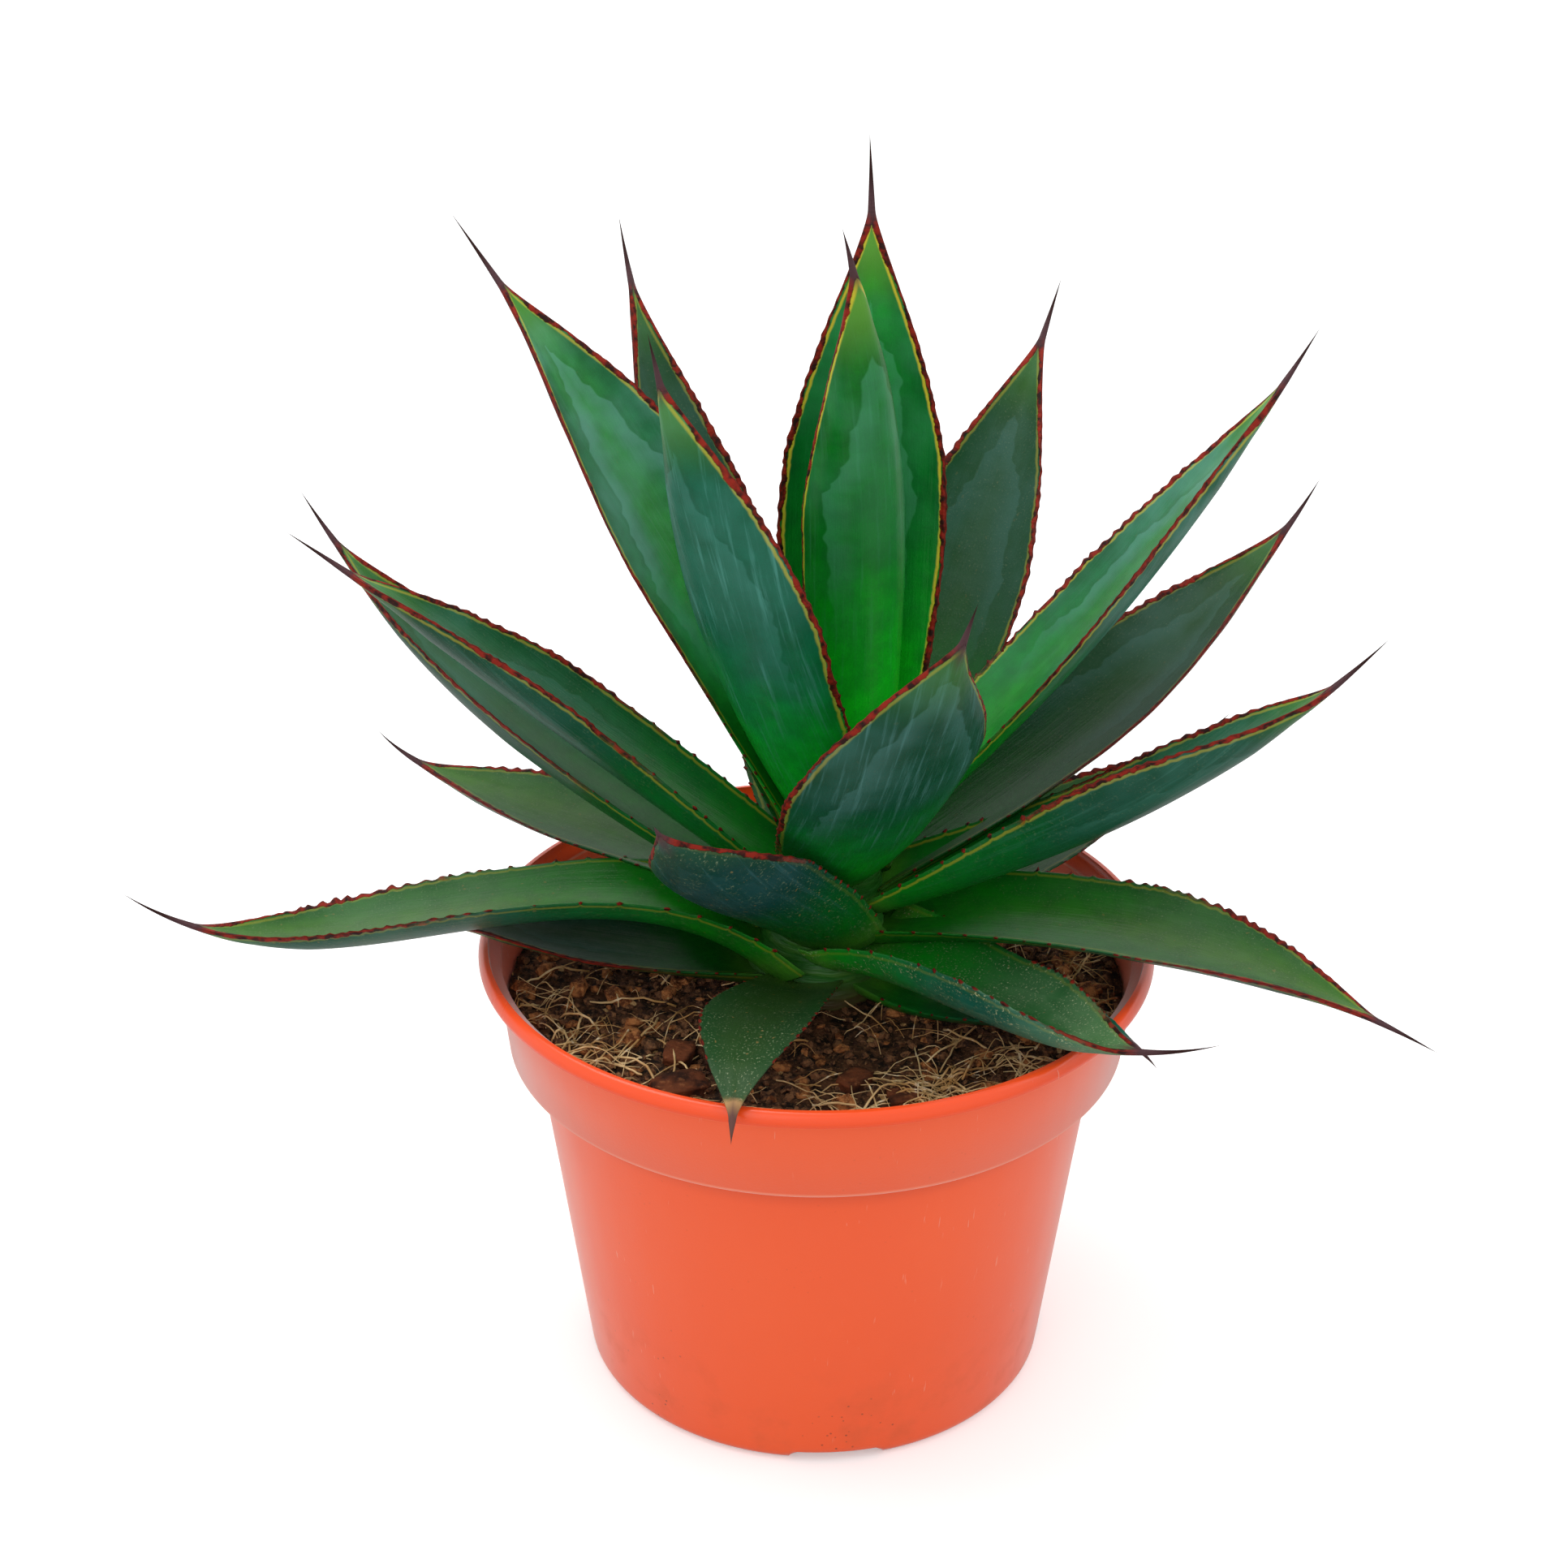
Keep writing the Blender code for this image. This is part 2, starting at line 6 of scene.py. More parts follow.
import bmesh
import bpy
import numpy as np
from bpy.props import FloatProperty, FloatVectorProperty, IntProperty, PointerProperty
from mathutils import Euler, Matrix, Vector, noise


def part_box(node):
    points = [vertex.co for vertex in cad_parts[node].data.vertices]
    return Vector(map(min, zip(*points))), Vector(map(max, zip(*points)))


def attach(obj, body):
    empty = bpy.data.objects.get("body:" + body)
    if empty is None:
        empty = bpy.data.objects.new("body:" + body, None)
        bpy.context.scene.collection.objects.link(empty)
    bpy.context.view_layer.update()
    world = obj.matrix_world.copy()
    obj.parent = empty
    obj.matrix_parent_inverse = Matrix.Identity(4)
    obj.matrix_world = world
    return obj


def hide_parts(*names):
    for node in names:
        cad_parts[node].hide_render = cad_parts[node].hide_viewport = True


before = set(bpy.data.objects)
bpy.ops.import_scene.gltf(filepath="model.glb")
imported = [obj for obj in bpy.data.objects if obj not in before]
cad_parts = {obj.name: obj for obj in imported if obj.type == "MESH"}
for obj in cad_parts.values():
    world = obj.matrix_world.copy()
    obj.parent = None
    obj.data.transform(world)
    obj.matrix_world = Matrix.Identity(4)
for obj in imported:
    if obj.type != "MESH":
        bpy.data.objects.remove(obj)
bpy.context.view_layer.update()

bl_info = {
    "name": "Potted agave",
    "version": (1, 0, 0),
    "blender": (4, 5, 0),
    "location": "3D View > Sidebar > Agave",
    "description": "Builds a potted agave with horned leaves, soil and a plastic nursery pot",
    "category": "Add Mesh",
}

MM = 0.001
POT_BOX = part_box("pot")
POT_HEIGHT = float(POT_BOX[1][2])
LIP_RADIUS = float(POT_BOX[1][0])
STEP_HEIGHT = POT_HEIGHT - 27 * MM
BELOW_STEP, ABOVE_STEP, COLLAR_RADIUS = 71.6 * MM, 78.2 * MM, 80.6 * MM
CHANNEL_HEADING = math.radians(-85.0)
MOUND_FOOT, MOUND_TOP, MOUND_HEIGHT = 50 * MM, 20 * MM, 1.5 * MM

CAMERA_LENS = 67.08
CAMERA_PLACE = (-0.0081, -0.64127, 0.48435)
CAMERA_TILT = math.radians(63.27)

# Stem above its waist (mm): it leans to the right, and the leaves' feet follow it up the slope.
STEM_WAIST = 108
STEM_LENGTH = 50
STEM_RADIUS = 18
STEM_TIP_RADIUS = 3
STEM_TAPER = 0.8
STEM_LEAN = math.radians(12.4)
FOOT_SLOPE = 0.22

# Leaf blade: where along it it is widest, and the heights (mm) below which its foot is broader.
LEAF_THICKNESS = 4.0 * MM
MARGIN_THICKNESS = 0.7 * MM
WIDEST_AT = 0.52
LOW_FOOT = 126
LOWEST_FOOT = 112
HANDLE = 0.667

# Each leaf, youngest first. First line: heading and height on the stem, tip (x, y, z), droop of the midrib
# at a third and two thirds, its sideways bow there, full width and spine length (mm). Second line: the heading
# its back faces, twist and cup at base, middle and tip (degrees), finish, size of its teeth (mm) and, where it
# is not HANDLE, the place of the midrib's second handle.
LEAVES = {
    "leaf_spear": (-60, 156, (5, 4, 300), (1, 2), (5, 12), 43, 10,
        -52, (0, 0, 0), (210, 200, 200), "young", 0.3),
    "leaf_back_tall": (85, 152, (12, 40, 313), (13, 6), (3, -3), 43, 18,
        85, (0, 0, 0), (110, 60, 100), "young", 0.5),
    "leaf_left_inner": (-145, 148, (-38, -26, 285), (13, 8), (2, 3), 48, 11,
        -135, (0, 0, 0), (110, 95, 120), "blue", 0.5),
    "leaf_right_tall": (12, 147, (121, 35, 267), (10, 10), (0, 0), 42, 15,
        15, (0, -12, -14), (110, 80, 120), "tall", 0.8),
    "leaf_left_tall": (150, 144, (-89, 53, 290), (-8, -7), (-3, 0), 46, 20,
        140, (0, 0, 0), (110, 70, 120), "tall", 0.5),
    "leaf_front_right": (-90, 140, (33, -73, 241), (13, 14), (-4, -11), 55, 10,
        -60, (0, 0, 0), (110, 75, 100), "front", 0.4),
    "leaf_back_left": (125, 138, (-51, 101, 276), (8, 4), (2, 7), 33, 18,
        118, (0, 0, 0), (100, 100, 140), "shaded", 0.6),
    "leaf_back_right": (58, 138, (64, 95, 261), (10, 5), (2, 1), 42, 16,
        57, (0, 0, 0), (100, 60, 100), "shaded", 0.7),
    "leaf_left_upper": (-175, 134, (-129, 16, 222), (3, -2), (0, 0), 43, 17,
        173, (0, 12, 5), (100, 110, 120), "spread", 0.7),
    "leaf_right_lower": (-22, 132, (132, -25, 212), (12, 14), (-3, -1), 50, 17,
        -10, (0, -20, 0), (100, 115, 110), "spread", 0.7),
    "leaf_right_middle": (35, 131, (129, 60, 219), (12, 18), (4, 2), 46, 14,
        24, (0, 0, 0), (100, 70, 110), "shaded", 0.7, 0.75),
    "leaf_back_middle": (102, 129, (-8, 125, 190), (8, 8), (0, 0), 40, 16,
        94, (0, 0, 0), (100, 60, 110), "shaded", 0.8),
    "leaf_left_middle": (162, 127, (-131, 54, 218), (13, 20), (1, 2), 42, 15,
        158, (0, 10, 0), (100, 90, 110), "spread", 0.9),
    "leaf_front_short": (-120, 125, (-37, -66, 184), (0, 10), (4, 4), 44, 2,
        -125, (0, 20, 15), (110, 90, 90), "short", 0.5),
    "leaf_back_right_lower": (50, 125, (85, 85, 195), (12, 12), (-3, -3), 38, 16,
        45, (0, 0, 0), (100, 60, 110), "shaded", 0.9),
    "leaf_left_back_low": (145, 122, (-116, 57, 149), (-5, 15), (-4, -1), 35, 13,
        156, (0, 0, 0), (100, 60, 120), "old", 1.0, 0.8),
    "leaf_right_low": (0, 121, (149, -46, 112), (-18, -17), (0, 0), 38, 16,
        -17, (0, 0, 0), (100, 60, 110), "old", 1.3),
    "leaf_back_low": (74, 120, (40, 135, 160), (2, 6), (0, 0), 40, 16,
        74, (0, 0, 0), (100, 60, 110), "old", 1.0),
    "leaf_front_right_low": (-50, 119, (91, -80, 136), (-2, 12), (-5, -12), 42, 20,
        -44, (0, -18, 0), (100, 115, 110), "dusty", 0.9),
    "leaf_left_low": (-165, 116, (-168, -25, 145), (-32, 32), (0, 0), 44, 19,
        -172, (0, 15, 0), (100, 70, 120), "old", 1.5),
    "leaf_back_left_low": (122, 115, (-62, 84, 134), (2, 6), (0, 0), 36, 14,
        128, (0, 0, 0), (100, 60, 110), "old", 1.0),
    "leaf_back_right_under": (28, 114, (112, 66, 150), (2, 7), (0, 0), 34, 16,
        31, (0, 0, 0), (100, 60, 110), "old", 1.0),
    "leaf_front_small": (-105, 112, (-20, -92, 117), (-6, -20), (-3, -5), 27, 6,
        -102, (0, 0, 0), (80, 50, 60), "dying", 0.6),
    "leaf_left_under": (-175, 110, (-106, -4, 126), (-3, -3), (2, 2), 36, 12,
        -179, (0, 0, 0), (100, 50, 100), "shaded", 0.9),
    "leaf_front_right_under": (-38, 110, (78, -70, 123), (11, -10), (7, 13), 17, 10,
        -43, (0, 0, 0), (100, 50, 100), "hidden", 0.7),
}

# Finish of each kind of leaf: upper face, lower face, base, bloom, heart colour, then how much bloom,
# imprint, streak, scab and dust it carries, how far its dry tip reaches (mm), where along the blade its horn
# starts and how strong its yellow thread is.
LEAF_FINISHES = {
    "young": ("067828", "047018", "10CC18", "5AA884", "0C9A20", 0.16, 0.25, 0.12, 0.0, 0.0, 0, 0.1, 0.9),
    "blue": ("10683C", "085E42", "0CB41C", "4E9284", "147A36", 0.22, 0.22, 0.55, 0.0, 0.0, 0, 0.15, 0.5),
    "front": ("0C5236", "04442E", "06941A", "4E807A", "165C2E", 0.26, 0.3, 0.5, 0.05, 0.0, 0, 0.2, 0.3),
    "tall": ("1E7044", "145C40", "12A41C", "66A094", "288426", 0.3, 0.28, 0.18, 0.05, 0.0, 0, 0.25, 0.5),
    "shaded": ("164426", "0C3822", "0A6410", "46706A", "1E461A", 0.2, 0.22, 0.12, 0.1, 0.1, 0, 0.3, 0.25),
    "spread": ("185C34", "084834", "0A7E16", "488070", "205C20", 0.22, 0.22, 0.25, 0.1, 0.1, 0, 0.35, 0.35),
    "old": ("2C6424", "065442", "0C8412", "5C7E5C", "44701C", 0.2, 0.06, 0.15, 0.35, 0.2, 3, 0.55, 0.2),
    "dusty": ("205C2C", "0C6254", "109A1A", "7C9C74", "225C28", 0.26, 0.1, 0.15, 0.45, 1.0, 3, 0.75, 0.1),
    "dying": ("2C4A26", "1E4430", "2A4A1C", "4E6448", "2E4C20", 0.15, 0.0, 0.15, 0.8, 0.6, 5, 1.3, 0.0),
    "short": ("2C4A38", "063A38", "086A14", "3E6A6C", "164C2C", 0.26, 0.1, 0.4, 0.5, 0.3, 2, 0.55, 0.05),
    "hidden": ("0C5A44", "085236", "0C7C12", "3E7868", "0C5A44", 0.2, 0.0, 0.2, 0.1, 0.1, 0, 1.0, 0.0),
}

# Chips on the soil: heading, distance, length, width, thickness (mm) and turn (degrees).
CHIPS = {
    "bark_chip_1": (-122, 62, 13, 9, 3.5, 20),
    "bark_chip_2": (-132, 50, 9, 7, 3.0, 75),
    "bark_chip_3": (-118, 48, 8, 6, 2.5, -30),
    "bark_chip_4": (-80, 50, 9, 6, 3.0, 50),
    "bark_chip_5": (-70, 60, 8, 7, 2.5, 10),
    "wood_splinter": (-73, 71, 16, 3.5, 1.5, 14),
}


def colour(code, alpha=1.0):
    """Linear colour of a hex code."""
    values = [int(code[i:i + 2], 16) / 255 for i in (0, 2, 4)]
    return (*[v / 12.92 if v <= 0.04045 else ((v + 0.055) / 1.055) ** 2.4 for v in values], alpha)


# Node helpers


class Nodes:
    """Short ways to add and join the nodes of one tree."""

    def __init__(self, tree):
        self.tree = tree

    def put(self, socket, value):
        if isinstance(value, bpy.types.NodeSocket):
            self.tree.links.new(value, socket)
        else:
            socket.default_value = value

    def add(self, kind, values=None, **settings):
        node = self.tree.nodes.new(kind)
        for key, value in settings.items():
            setattr(node, key, value)
        for key, value in (values or {}).items():
            self.put(node.inputs[key], value)
        return node

    def calc(self, operation, first, second=0.0, third=0.0, clamp=False):
        values = {0: first, 1: second}
        if operation == "MULTIPLY_ADD":
            values[2] = third
        return self.add("ShaderNodeMath", values, operation=operation, use_clamp=clamp).outputs[0]

    def times(self, first, second, clamp=False):
        return self.calc("MULTIPLY", first, second, clamp=clamp)

    def plus(self, first, second, clamp=False):
        return self.calc("ADD", first, second, clamp=clamp)

    def minus(self, first, second):
        return self.calc("SUBTRACT", first, second)

    def scaled(self, value, factor, offset):
        return self.calc("MULTIPLY_ADD", value, factor, offset)

    def most(self, first, second):
        return self.calc("MAXIMUM", first, second)

    def object_place(self):
        return self.add("ShaderNodeTexCoord").outputs["Object"]

    def rise(self, value, low, high):
        """0 below low and 1 above high, with soft ends; low may be above high."""
        numbers = not any(isinstance(end, bpy.types.NodeSocket) for end in (low, high))
        flipped = numbers and low > high
        if flipped:
            low, high = high, low
        node = self.add("ShaderNodeMapRange", {"Value": value, "From Min": low, "From Max": high},
                        interpolation_type="SMOOTHSTEP")
        out = node.outputs["Result"]
        return self.calc("SUBTRACT", 1.0, out) if flipped else out

    def mix(self, factor, first, second, blend="MIX"):
        node = self.add("ShaderNodeMix", data_type="RGBA", blend_type=blend, clamp_factor=True)
        for index, value in ((0, factor), (6, first), (7, second)):
            self.put(node.inputs[index], value)
        return node.outputs[2]

    def noise(self, vector, scale, detail=3.0, roughness=0.55):
        return self.add("ShaderNodeTexNoise", {"Vector": vector, "Scale": scale, "Detail": detail,
                                               "Roughness": roughness}).outputs["Fac"]

    def combine(self, x, y, z):
        return self.add("ShaderNodeCombineXYZ", {0: x, 1: y, 2: z}).outputs[0]

    def split(self, vector):
        return self.add("ShaderNodeSeparateXYZ", {0: vector}).outputs

    def attribute(self, name):
        return self.split(self.add("ShaderNodeAttribute", attribute_name=name).outputs["Vector"])


def node_group(name, inputs, outputs):
    """A shader node group with named inputs and outputs, and its helper."""
    tree = bpy.data.node_groups.new(name, "ShaderNodeTree")
    kinds = {"colour": "NodeSocketColor", "value": "NodeSocketFloat", "vector": "NodeSocketVector"}
    for label, kind, default in inputs:
        socket = tree.interface.new_socket(label, in_out="INPUT", socket_type=kinds[kind])
        if default is not None:
            socket.default_value = default
    for label, kind in outputs:
        tree.interface.new_socket(label, in_out="OUTPUT", socket_type=kinds[kind])
    nodes = Nodes(tree)
    return tree, nodes, nodes.add("NodeGroupInput").outputs, nodes.add("NodeGroupOutput").inputs


def new_material(name, roughness=0.5, specular=0.5):
    material = bpy.data.materials.new(name)
    material.use_nodes = True
    shader = material.node_tree.nodes["Principled BSDF"]
    shader.inputs["Roughness"].default_value = roughness
    shader.inputs["Specular IOR Level"].default_value = specular
    return material, Nodes(material.node_tree), shader


def bump(nodes, shader, height, distance, strength=1.0):
    node = nodes.add("ShaderNodeBump", {"Height": height, "Distance": distance, "Strength": strength})
    nodes.put(shader.inputs["Normal"], node.outputs["Normal"])


# Shared effects


LEAF_AMOUNTS = ("Bloom Amount", "Imprint", "Streak", "Scab", "Dust", "Dry", "Horn Start", "Thread Amount")


def leaf_skin_group():
    """Colour, roughness and relief of an agave leaf from its own measurements, in millimetres."""
    inputs = [(label, "colour", None) for label in ("Upper", "Lower", "Base", "Bloom", "Heart")]
    inputs += [(label, "value", 0.0) for label in LEAF_AMOUNTS]
    inputs += [("Horn Width", "value", 1.3), ("Horn", "colour", None), ("Horn Dark", "colour", None),
               ("Thread", "colour", None), ("Spine", "colour", None)]
    tree, n, given, out = node_group("Leaf skin", inputs,
                                     [("Color", "colour"), ("Roughness", "value"), ("Height", "value")])
    across, reach, tip = n.attribute("blade")
    margin, lower, tooth = n.attribute("edge")
    seed, share, _ = n.attribute("growth")
    shift = n.times(seed, 37.0)
    place = n.combine(n.plus(across, shift), reach, n.times(lower, 31.0))
    cloud = n.noise(place, 0.045, 3.0)
    patch = n.noise(place, 0.16, 4.0)
    grain = n.noise(place, 1.6, 4.0)
    along = n.combine(n.plus(across, shift), n.times(reach, 0.045), seed)
    streak = n.noise(along, 0.8, 4.0, 0.65)

    blade = n.mix(lower, given["Upper"], given["Lower"])
    heart = n.times(n.rise(n.calc("ABSOLUTE", across), 13.0, 0.0), n.minus(1.0, lower))
    blade = n.mix(n.times(heart, 0.75), blade, given["Heart"])
    base = n.rise(n.scaled(cloud, 0.3, share), 0.72, 0.22)
    blade = n.mix(base, blade, given["Base"])
    blade = n.mix(n.times(n.rise(reach, 10.0, 0.0), 0.4), blade, colour("6CA030"))
    tone = n.rise(patch, 0.3, 0.7)
    blade = n.mix(n.times(tone, 0.3), blade, colour("08381C"))
    deep = n.times(n.rise(margin, 7.0, 1.0), n.rise(cloud, 0.62, 0.4))
    blade = n.mix(n.times(deep, 0.4), blade, colour("04401C"))
    pores = n.times(n.rise(n.noise(place, 3.5, 2.0), 0.42, 0.66), 0.16)
    blade = n.mix(pores, blade, colour("0A3018"))

    wax = n.times(given["Bloom Amount"], n.rise(cloud, 0.35, 0.68))
    wax = n.times(wax, n.scaled(n.rise(share, 0.25, 0.9), 1.2, 0.15))
    lines = n.times(n.rise(streak, 0.5, 0.72), given["Streak"])
    lines = n.times(lines, n.scaled(lower, 0.7, 0.3))
    wax = n.plus(wax, lines, clamp=True)
    wax = n.times(wax, n.minus(1.0, n.times(base, 0.8)))
    blade = n.mix(wax, blade, given["Bloom"])

    hand = n.calc("SIGN", across)
    drift = n.combine(n.scaled(hand, 4.0, shift), n.times(reach, 0.035), lower)
    wander = n.noise(drift, 1.0, 3.0)
    waves = n.scaled(reach, 0.36, n.times(wander, 22.0))
    scallop = n.calc("ABSOLUTE", n.calc("SINE", waves))
    edge = n.plus(n.times(wander, 17.0), n.times(scallop, 0.9))
    inside = n.minus(margin, edge)
    band = n.times(n.rise(inside, -0.25, 0.45), n.rise(inside, 8.0, 0.3))
    printed = n.times(given["Imprint"], n.rise(share, 0.3, 0.55))
    band = n.times(band, printed)
    blade = n.mix(band, blade, given["Bloom"])
    shadow = n.times(n.rise(inside, -2.2, -0.2), n.rise(inside, 0.1, -0.1))
    shadow = n.times(shadow, printed)
    blade = n.mix(n.times(shadow, 0.5), blade, colour("083818"))

    spots = n.noise(place, 0.55, 2.0, 0.4)
    scab = n.times(n.rise(spots, 0.70, 0.74), given["Scab"])
    blade = n.mix(scab, blade, colour("8A7444"))
    specks = n.times(n.rise(grain, 0.56, 0.7), n.rise(patch, 0.36, 0.6))
    blade = n.mix(n.times(specks, given["Dust"]), blade, colour("A9B48C"))

    lime = n.rise(tip, 26.0, 5.0)
    blade = n.mix(n.times(lime, given["Thread Amount"], clamp=True), blade, colour("5E9A34"))
    dry_end = n.minus(tip, n.times(given["Dry"], n.scaled(patch, 1.6, 0.1)))
    dry = n.times(n.rise(dry_end, 1.5, -1.5), n.rise(given["Dry"], 0.5, 1.5))
    blade = n.mix(dry, blade, n.mix(patch, colour("8A5A30"), colour("C9A26C")))

    present = n.minus(n.scaled(patch, 0.25, share), given["Horn Start"])
    present = n.rise(present, 0.08, 0.26)
    thread = n.times(n.rise(margin, 0.9, 1.2), n.rise(margin, 2.1, 1.5))
    thread = n.times(thread, given["Thread Amount"])
    blade = n.mix(thread, blade, given["Thread"])
    ragged = n.noise(n.combine(reach, shift, lower), 0.7, 3.0)
    stretch = n.combine(n.times(reach, 0.06), n.scaled(hand, 3.0, shift), 0.0)
    slow = n.noise(stretch, 1.0, 2.0)
    width = n.scaled(ragged, 0.9, n.times(n.rise(slow, 0.36, 0.62), 0.9))
    width = n.times(given["Horn Width"], width)
    horn = n.rise(n.minus(margin, width), 0.12, -0.12)
    horn = n.times(horn, present)
    horn = n.most(horn, n.rise(tooth, 0.2, 0.4))
    horn_colour = n.mix(n.rise(n.noise(place, 0.35, 2.0), 0.4, 0.62), given["Horn"], given["Horn Dark"])
    blade = n.mix(horn, blade, horn_colour)
    spine_start = n.rise(n.minus(tip, n.times(margin, 0.8)), 5.0, 0.0)
    spine_colour = n.mix(n.rise(tip, -1.0, -9.0), given["Spine"], given["Horn Dark"])
    spine_colour = n.mix(n.rise(given["Dry"], 4.0, 8.0), spine_colour, colour("9A6A44"))
    blade = n.mix(spine_start, blade, spine_colour)

    n.put(out["Color"], blade)
    rough = n.scaled(wax, 0.14, 0.33)
    dull = n.most(horn, n.most(scab, dry))
    rough = n.plus(rough, n.times(dull, 0.22))
    n.put(out["Roughness"], n.plus(rough, n.times(given["Dust"], 0.12)))
    height = n.plus(n.times(streak, 0.22), n.times(grain, 0.05))
    height = n.plus(height, n.times(patch, 0.3))
    height = n.plus(height, n.times(band, 0.12))
    height = n.minus(height, n.times(thread, 0.18))
    height = n.plus(height, n.times(horn, n.scaled(ragged, 0.5, 0.1)))
    n.put(out["Height"], height)
    return tree


def grit_group():
    """Mottled colour and relief shared by soil, bark and wood."""
    inputs = [("Dark", "colour", None), ("Middle", "colour", None), ("Pale", "colour", None),
              ("Scale", "value", 300.0), ("Pale Amount", "value", 0.2)]
    tree, n, given, out = node_group("Grit", inputs, [("Color", "colour"), ("Height", "value")])
    place = n.object_place()
    coarse = n.noise(place, given["Scale"], 4.0)
    fine = n.noise(place, n.times(given["Scale"], 4.0), 5.0)
    shade = n.mix(n.rise(coarse, 0.36, 0.62), given["Dark"], given["Middle"])
    pale = n.times(n.rise(fine, 0.56, 0.7), given["Pale Amount"])
    n.put(out["Color"], n.mix(pale, shade, given["Pale"]))
    n.put(out["Height"], n.plus(coarse, n.times(fine, 0.5)))
    return tree


def shared_group(name, make):
    return bpy.data.node_groups.get(name) or make()


# Materials


def leaf_material(finish, settings):
    name = f"Leaf {finish}"
    if name in bpy.data.materials:
        return bpy.data.materials[name]
    material, n, shader = new_material(name, 0.4, 0.16)
    skin = n.add("ShaderNodeGroup", node_tree=shared_group("Leaf skin", leaf_skin_group))
    values = LEAF_FINISHES[finish]
    for label, code in zip(("Upper", "Lower", "Base", "Bloom", "Heart"), values[:5]):
        skin.inputs[label].default_value = colour(code)
    for label, amount in zip(LEAF_AMOUNTS, values[5:]):
        skin.inputs[label].default_value = amount
    skin.inputs["Horn Width"].default_value = settings.horn_width / MM
    for label, shade in (("Horn", settings.horn_colour), ("Horn Dark", settings.horn_dark),
                         ("Thread", settings.thread_colour), ("Spine", settings.spine_colour)):
        skin.inputs[label].default_value = (*shade, 1.0)
    n.put(shader.inputs["Base Color"], skin.outputs["Color"])
    n.put(shader.inputs["Roughness"], skin.outputs["Roughness"])
    bump(n, shader, skin.outputs["Height"], 0.0006)
    return material


def grit_material(name, dark, middle, pale, scale, pale_amount, relief=0.0008, roughness=0.9):
    if name in bpy.data.materials:
        return bpy.data.materials[name]
    material, n, shader = new_material(name, roughness, 0.25)
    grit = n.add("ShaderNodeGroup", node_tree=shared_group("Grit", grit_group))
    for label, value in (("Dark", colour(dark)), ("Middle", colour(middle)), ("Pale", colour(pale)),
                         ("Scale", scale), ("Pale Amount", pale_amount)):
        grit.inputs[label].default_value = value
    n.put(shader.inputs["Base Color"], grit.outputs["Color"])
    bump(n, shader, grit.outputs["Height"], relief)
    return material


def pot_material(settings):
    material, n, shader = new_material("Moulded plastic")
    place = n.object_place()
    x, y, height = n.split(place)
    base = (*settings.colour, 1.0)
    cloud = n.noise(place, 22.0, 3.0)
    shade = n.mix(n.times(n.rise(cloud, 0.3, 0.7), 0.25), base, colour("F45424"))
    lip = n.rise(height, POT_HEIGHT - 0.0042, POT_HEIGHT - 0.0036)
    shade = n.mix(n.times(lip, 0.85), shade, colour("F0480C"))
    # Painted highlight: a thin pale line along the collar's lower edge, at the step.
    rim = n.times(n.rise(height, STEP_HEIGHT - 0.0001, STEP_HEIGHT + 0.0001),
                 n.rise(height, STEP_HEIGHT + 0.0011, STEP_HEIGHT + 0.0006))
    # Painted shade: a darker band under the collar step.
    painted_step_shade = n.times(n.rise(height, STEP_HEIGHT - 0.009, STEP_HEIGHT - 0.003),
                    n.rise(height, STEP_HEIGHT + 0.0001, STEP_HEIGHT - 0.0001))
    shade = n.mix(n.times(painted_step_shade, 0.4), shade, colour("C8401A"))
    # Painted highlight: a thin pale line along the lip's lower edge; both pale lines are mixed in below.
    under = n.times(n.rise(height, POT_HEIGHT - 0.0046, POT_HEIGHT - 0.0042),
                   n.rise(height, POT_HEIGHT - 0.0034, POT_HEIGHT - 0.0038))
    shade = n.mix(n.times(n.most(rim, under), 0.4), shade, colour("FFAE90"))
    low = n.rise(height, 0.045, 0.004)
    specks = n.add("ShaderNodeTexVoronoi", {"Vector": place, "Scale": 420.0})
    speck = n.times(n.rise(specks.outputs["Distance"], 0.16, 0.08),
                   n.rise(n.noise(place, 60.0, 2.0), 0.56, 0.64))
    speck = n.times(speck, n.scaled(low, 0.8, 0.12))
    shade = n.mix(n.times(speck, 0.75), shade, colour("5A2410"))
    drag = n.noise(n.combine(n.times(x, 900.0), n.times(y, 900.0), n.times(height, 60.0)), 1.0, 2.0)
    scuff = n.times(n.rise(drag, 0.68, 0.74), n.rise(n.noise(place, 35.0, 1.0), 0.56, 0.66))
    shade = n.mix(n.times(scuff, 0.35), shade, colour("FFB79C"))
    film = n.times(n.rise(n.noise(place, 90.0, 4.0), 0.45, 0.75), low)
    shade = n.mix(n.times(film, 0.22), shade, colour("B0562E"))
    n.put(shader.inputs["Base Color"], shade)
    shader.inputs["Sheen Weight"].default_value = 0.6
    shader.inputs["Sheen Roughness"].default_value = 0.35
    rough = n.scaled(cloud, 0.14, 0.30)
    rough = n.minus(n.scaled(film, 0.2, rough), n.times(lip, 0.12))
    n.put(shader.inputs["Roughness"], rough)
    grain = n.noise(place, 1800.0, 2.0)
    wave = n.noise(n.combine(x, y, n.times(height, 0.3)), 40.0, 2.0)
    relief = n.scaled(grain, 0.05, n.times(wave, 0.9))
    bump(n, shader, n.scaled(scuff, -0.1, relief), 0.0004)
    return material


def stem_material():
    material, n, shader = new_material("Stem skin")
    place = n.object_place()
    x, y, height = n.split(place)
    rings = n.noise(n.combine(n.times(x, 60.0), n.times(y, 60.0), n.times(height, 500.0)), 1.0, 3.0)
    shade = n.mix(n.rise(height, 0.107, 0.116), colour("4A3A20"), colour("1E6A14"))
    shade = n.mix(n.times(n.rise(rings, 0.5, 0.65), 0.25), shade, colour("6C9A3C"))
    n.put(shader.inputs["Base Color"], shade)
    bump(n, shader, rings, 0.0008)
    return material


